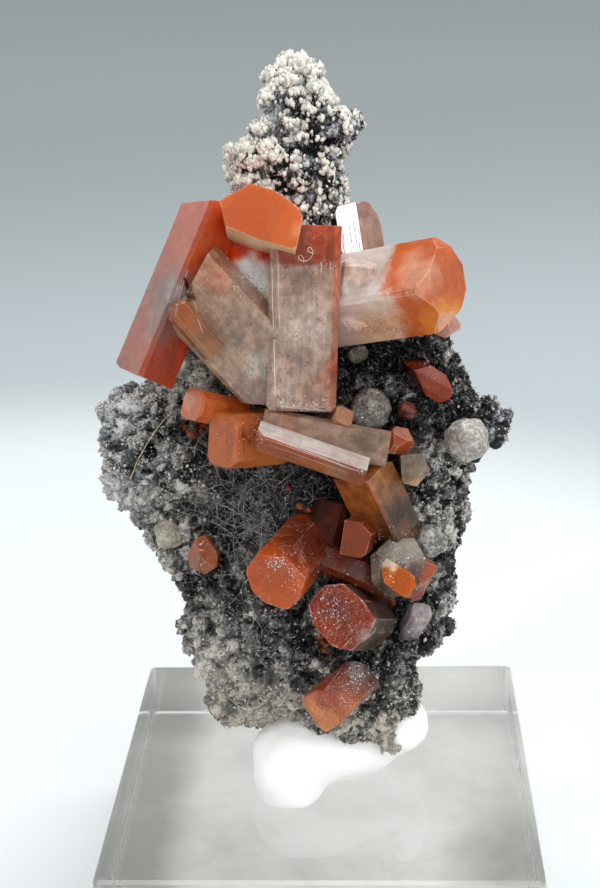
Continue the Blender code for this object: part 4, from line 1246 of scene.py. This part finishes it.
def make_putty():
    """The white putty between rock and block: the solid's form with one more lobe, kneaded, and glowing
    faintly as painted light.
    """
    t = Tree("putty")
    # Painted light: the faint emission makes the putty glow brighter than its lighting gives.
    t.principled(Base_Color="ffffff", Roughness=0.45, Normal=t.bump(t.noise(1.5, 3), 0.25, 0.2),
                 Subsurface_Weight=0.3, Subsurface_Radius=(0.002, 0.002, 0.0018), Emission_Color="fffaf0",
                 Emission_Strength=0.12)
    bm = bmesh.new()
    bm.from_mesh(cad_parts["putty"].data)
    lobe = SPECIMEN @ Matrix.Translation(Vector((4.7, -0.6, 4.9)) * MM)
    bmesh.ops.create_icosphere(bm, subdivisions=3, radius=1.2 * MM, matrix=lobe)
    putty = piece("putty_skin", mesh_of("putty", bm), Matrix(), ["putty"], [t.material])
    skin_over(putty)
    smooth = putty.modifiers.new("Kneaded", "SMOOTH")
    smooth.iterations = 6
    settle(putty)
    points, normals = skin_of(putty.data)
    dents = np.array([noise.noise(Vector(point) / 2.5) for point in points])
    putty.data.vertices.foreach_set("co", ((points + normals * (0.15 + 0.2 * dents[:, None])) * MM).ravel())
    putty.data.shade_smooth()


def make_block():
    """The clear block, with a scuffed underside that scatters light, painted with light and shade: paler and
    faintly glowing in the middle, greyer towards the left and right ends.
    """
    t = Tree("acrylic")
    x, y, z = (t.coordinate(letter) for letter in "XYZ")
    under = t.span(z, 0.3, 0.1)
    # Painted light and shade on the underside: a glow and paler colour in the middle, greyer towards the
    # ends.
    right = t.maths("MULTIPLY", t.span(x, 6.5, 14.0, 0.0, 0.75), t.span(y, 5.0, -6.0))
    painted_light_share = t.maths("SUBTRACT", t.span(x, -14.0, -9.5), right)
    painted_light_share = t.maths("ADD", painted_light_share, t.around(t.noise(0.16, 4, 0.6), 1.2, -0.1))
    glow = t.mix(t.maths("MULTIPLY", under, painted_light_share), "000000", "fbfcfa")
    t.principled(Base_Color=t.mix(under, "fbfcfa", t.mix(painted_light_share, "c4c4be", "fffffa")), IOR=ACRYLIC_IOR,
                 Roughness=t.span(under, 0.0, 1.0, 0.02, 0.5),
                 Transmission_Weight=t.span(under, 0.0, 1.0, 1.0, 0.2), Emission_Color=glow,
                 Emission_Strength=0.07)
    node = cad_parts["acrylic_block"]
    node.data.materials.clear()
    node.data.materials.append(t.material)


# ---------------------------------------------------------------- stage, light, camera

LIGHT_TARGET = 0.035  # height that the lights are aimed at, in metres


def make_floor():
    """A pale tabletop, darker towards the back, that meets the backdrop; its colour is a painted pool of
    light, palest near a point left of the object, greyer further out, paler again far off, and darker towards
    the front.
    """
    t = Tree("floor")
    # Painted pool of light: the colour goes by distance from a point 40 mm left of the object, and by how far
    # forward.
    far = t.vector("DISTANCE", t.place, (-40.0, 0.0, 0.0))
    near = t.mix(t.span(t.coordinate("Y"), -45.0, 15.0), "c8cbcc", "e4e8e9")
    near = t.mix(t.span(far, 95.0, 140.0), t.mix(t.span(far, 50.0, 95.0), near, "dfe4e5"), "b6c0c3")
    t.principled(Base_Color=t.mix(t.span(far, 200.0, 600.0), near, "dce2e2"), Roughness=0.8)
    bm = bmesh.new()
    bmesh.ops.create_circle(bm, cap_ends=True, segments=64, radius=3.0)
    mesh = mesh_of("floor", bm)
    mesh.materials.append(t.material)
    floor = added("floor", mesh)
    floor.location.z = -0.1 * MM


def bearing(azimuth, elevation):
    """The way from the object to a place around it, in degrees: azimuth 0 is in front, 90 to the right."""
    a, e = math.radians(azimuth), math.radians(elevation)
    return Vector((math.sin(a) * math.cos(e), -math.cos(a) * math.cos(e), math.sin(e)))


def softbox(name, azimuth, elevation, distance, size, radiance, mirrored=True):
    """A square light aimed at the object. radiance is what a mirror shows."""
    way = bearing(azimuth, elevation)
    light = bpy.data.lights.new(name, "AREA")
    light.size = size
    light.energy = radiance * math.pi * size ** 2
    lamp = added(name, light)
    lamp.location = Vector((0, 0, LIGHT_TARGET)) + way * distance
    lamp.rotation_mode = "QUATERNION"
    lamp.rotation_quaternion = way.to_track_quat("Z", "Y")
    lamp.visible_glossy = mirrored


def make_light():
    """A pale surround and the softboxes of a product photograph."""
    world = bpy.data.worlds.new("studio")
    world.use_nodes = True
    background = world.node_tree.nodes["Background"]
    background.inputs["Color"].default_value = (0.94, 0.99, 1.0, 1.0)
    background.inputs["Strength"].default_value = 0.42
    bpy.context.scene.world = world
    softbox("overhead", 150, 72, 0.26, 0.2, 3.6)
    softbox("left", -104, 24, 0.3, 0.2, 1.5)
    softbox("front", 22, 24, 0.6, 0.7, 1.7, mirrored=False)
    softbox("strip", 60, 35, 0.3, 0.05, 8.0)
    softbox("spark", -35, 50, 0.3, 0.02, 90.0)
    softbox("right_back", 112, 40, 0.32, 0.16, 2.4)


# The camera, fitted: where it stands, its bearing and roll in degrees, and its focal length in the pixels of
# a picture of that height
CAMERA_PLACE = (4.692, -108.026, 78.949)
CAMERA_AZIMUTH, CAMERA_ELEVATION, CAMERA_ROLL = 3.09, 20.37, -1.76
FOCAL_PIXELS, PICTURE_HEIGHT = 1576.6, 888
SENSOR = 36.0


def make_camera():
    """The camera that looks down on the specimen from a little to its right."""
    back = bearing(CAMERA_AZIMUTH, CAMERA_ELEVATION)
    azimuth, roll = math.radians(CAMERA_AZIMUTH), math.radians(CAMERA_ROLL)
    level = Vector((math.cos(azimuth), math.sin(azimuth), 0.0))
    upright = back.cross(level)
    right = math.cos(roll) * level + math.sin(roll) * upright
    up = -math.sin(roll) * level + math.cos(roll) * upright
    lens = bpy.data.cameras.new("camera")
    lens.sensor_fit = "VERTICAL"
    lens.sensor_height = SENSOR
    lens.lens = SENSOR * FOCAL_PIXELS / PICTURE_HEIGHT
    lens.clip_start = 0.001
    camera = added("camera", lens)
    turned = Matrix((right, up, back)).transposed().to_4x4()
    camera.matrix_world = Matrix.Translation(Vector(CAMERA_PLACE) * MM) @ turned
    bpy.context.scene.camera = camera


bpy.context.scene.view_settings.view_transform = "Standard"
crystals = make_crystals()
rock = make_rock()
make_grains(rock)
front = rock_front(rock)
make_hairs(front)
make_crumbs(front)
meets = surface_of(crystals + make_balls())
make_fibres(front, meets)
make_frost(meets)
make_highlights_and_cracks(meets)
make_flakes()
make_putty()
make_block()
make_floor()
make_light()
make_camera()
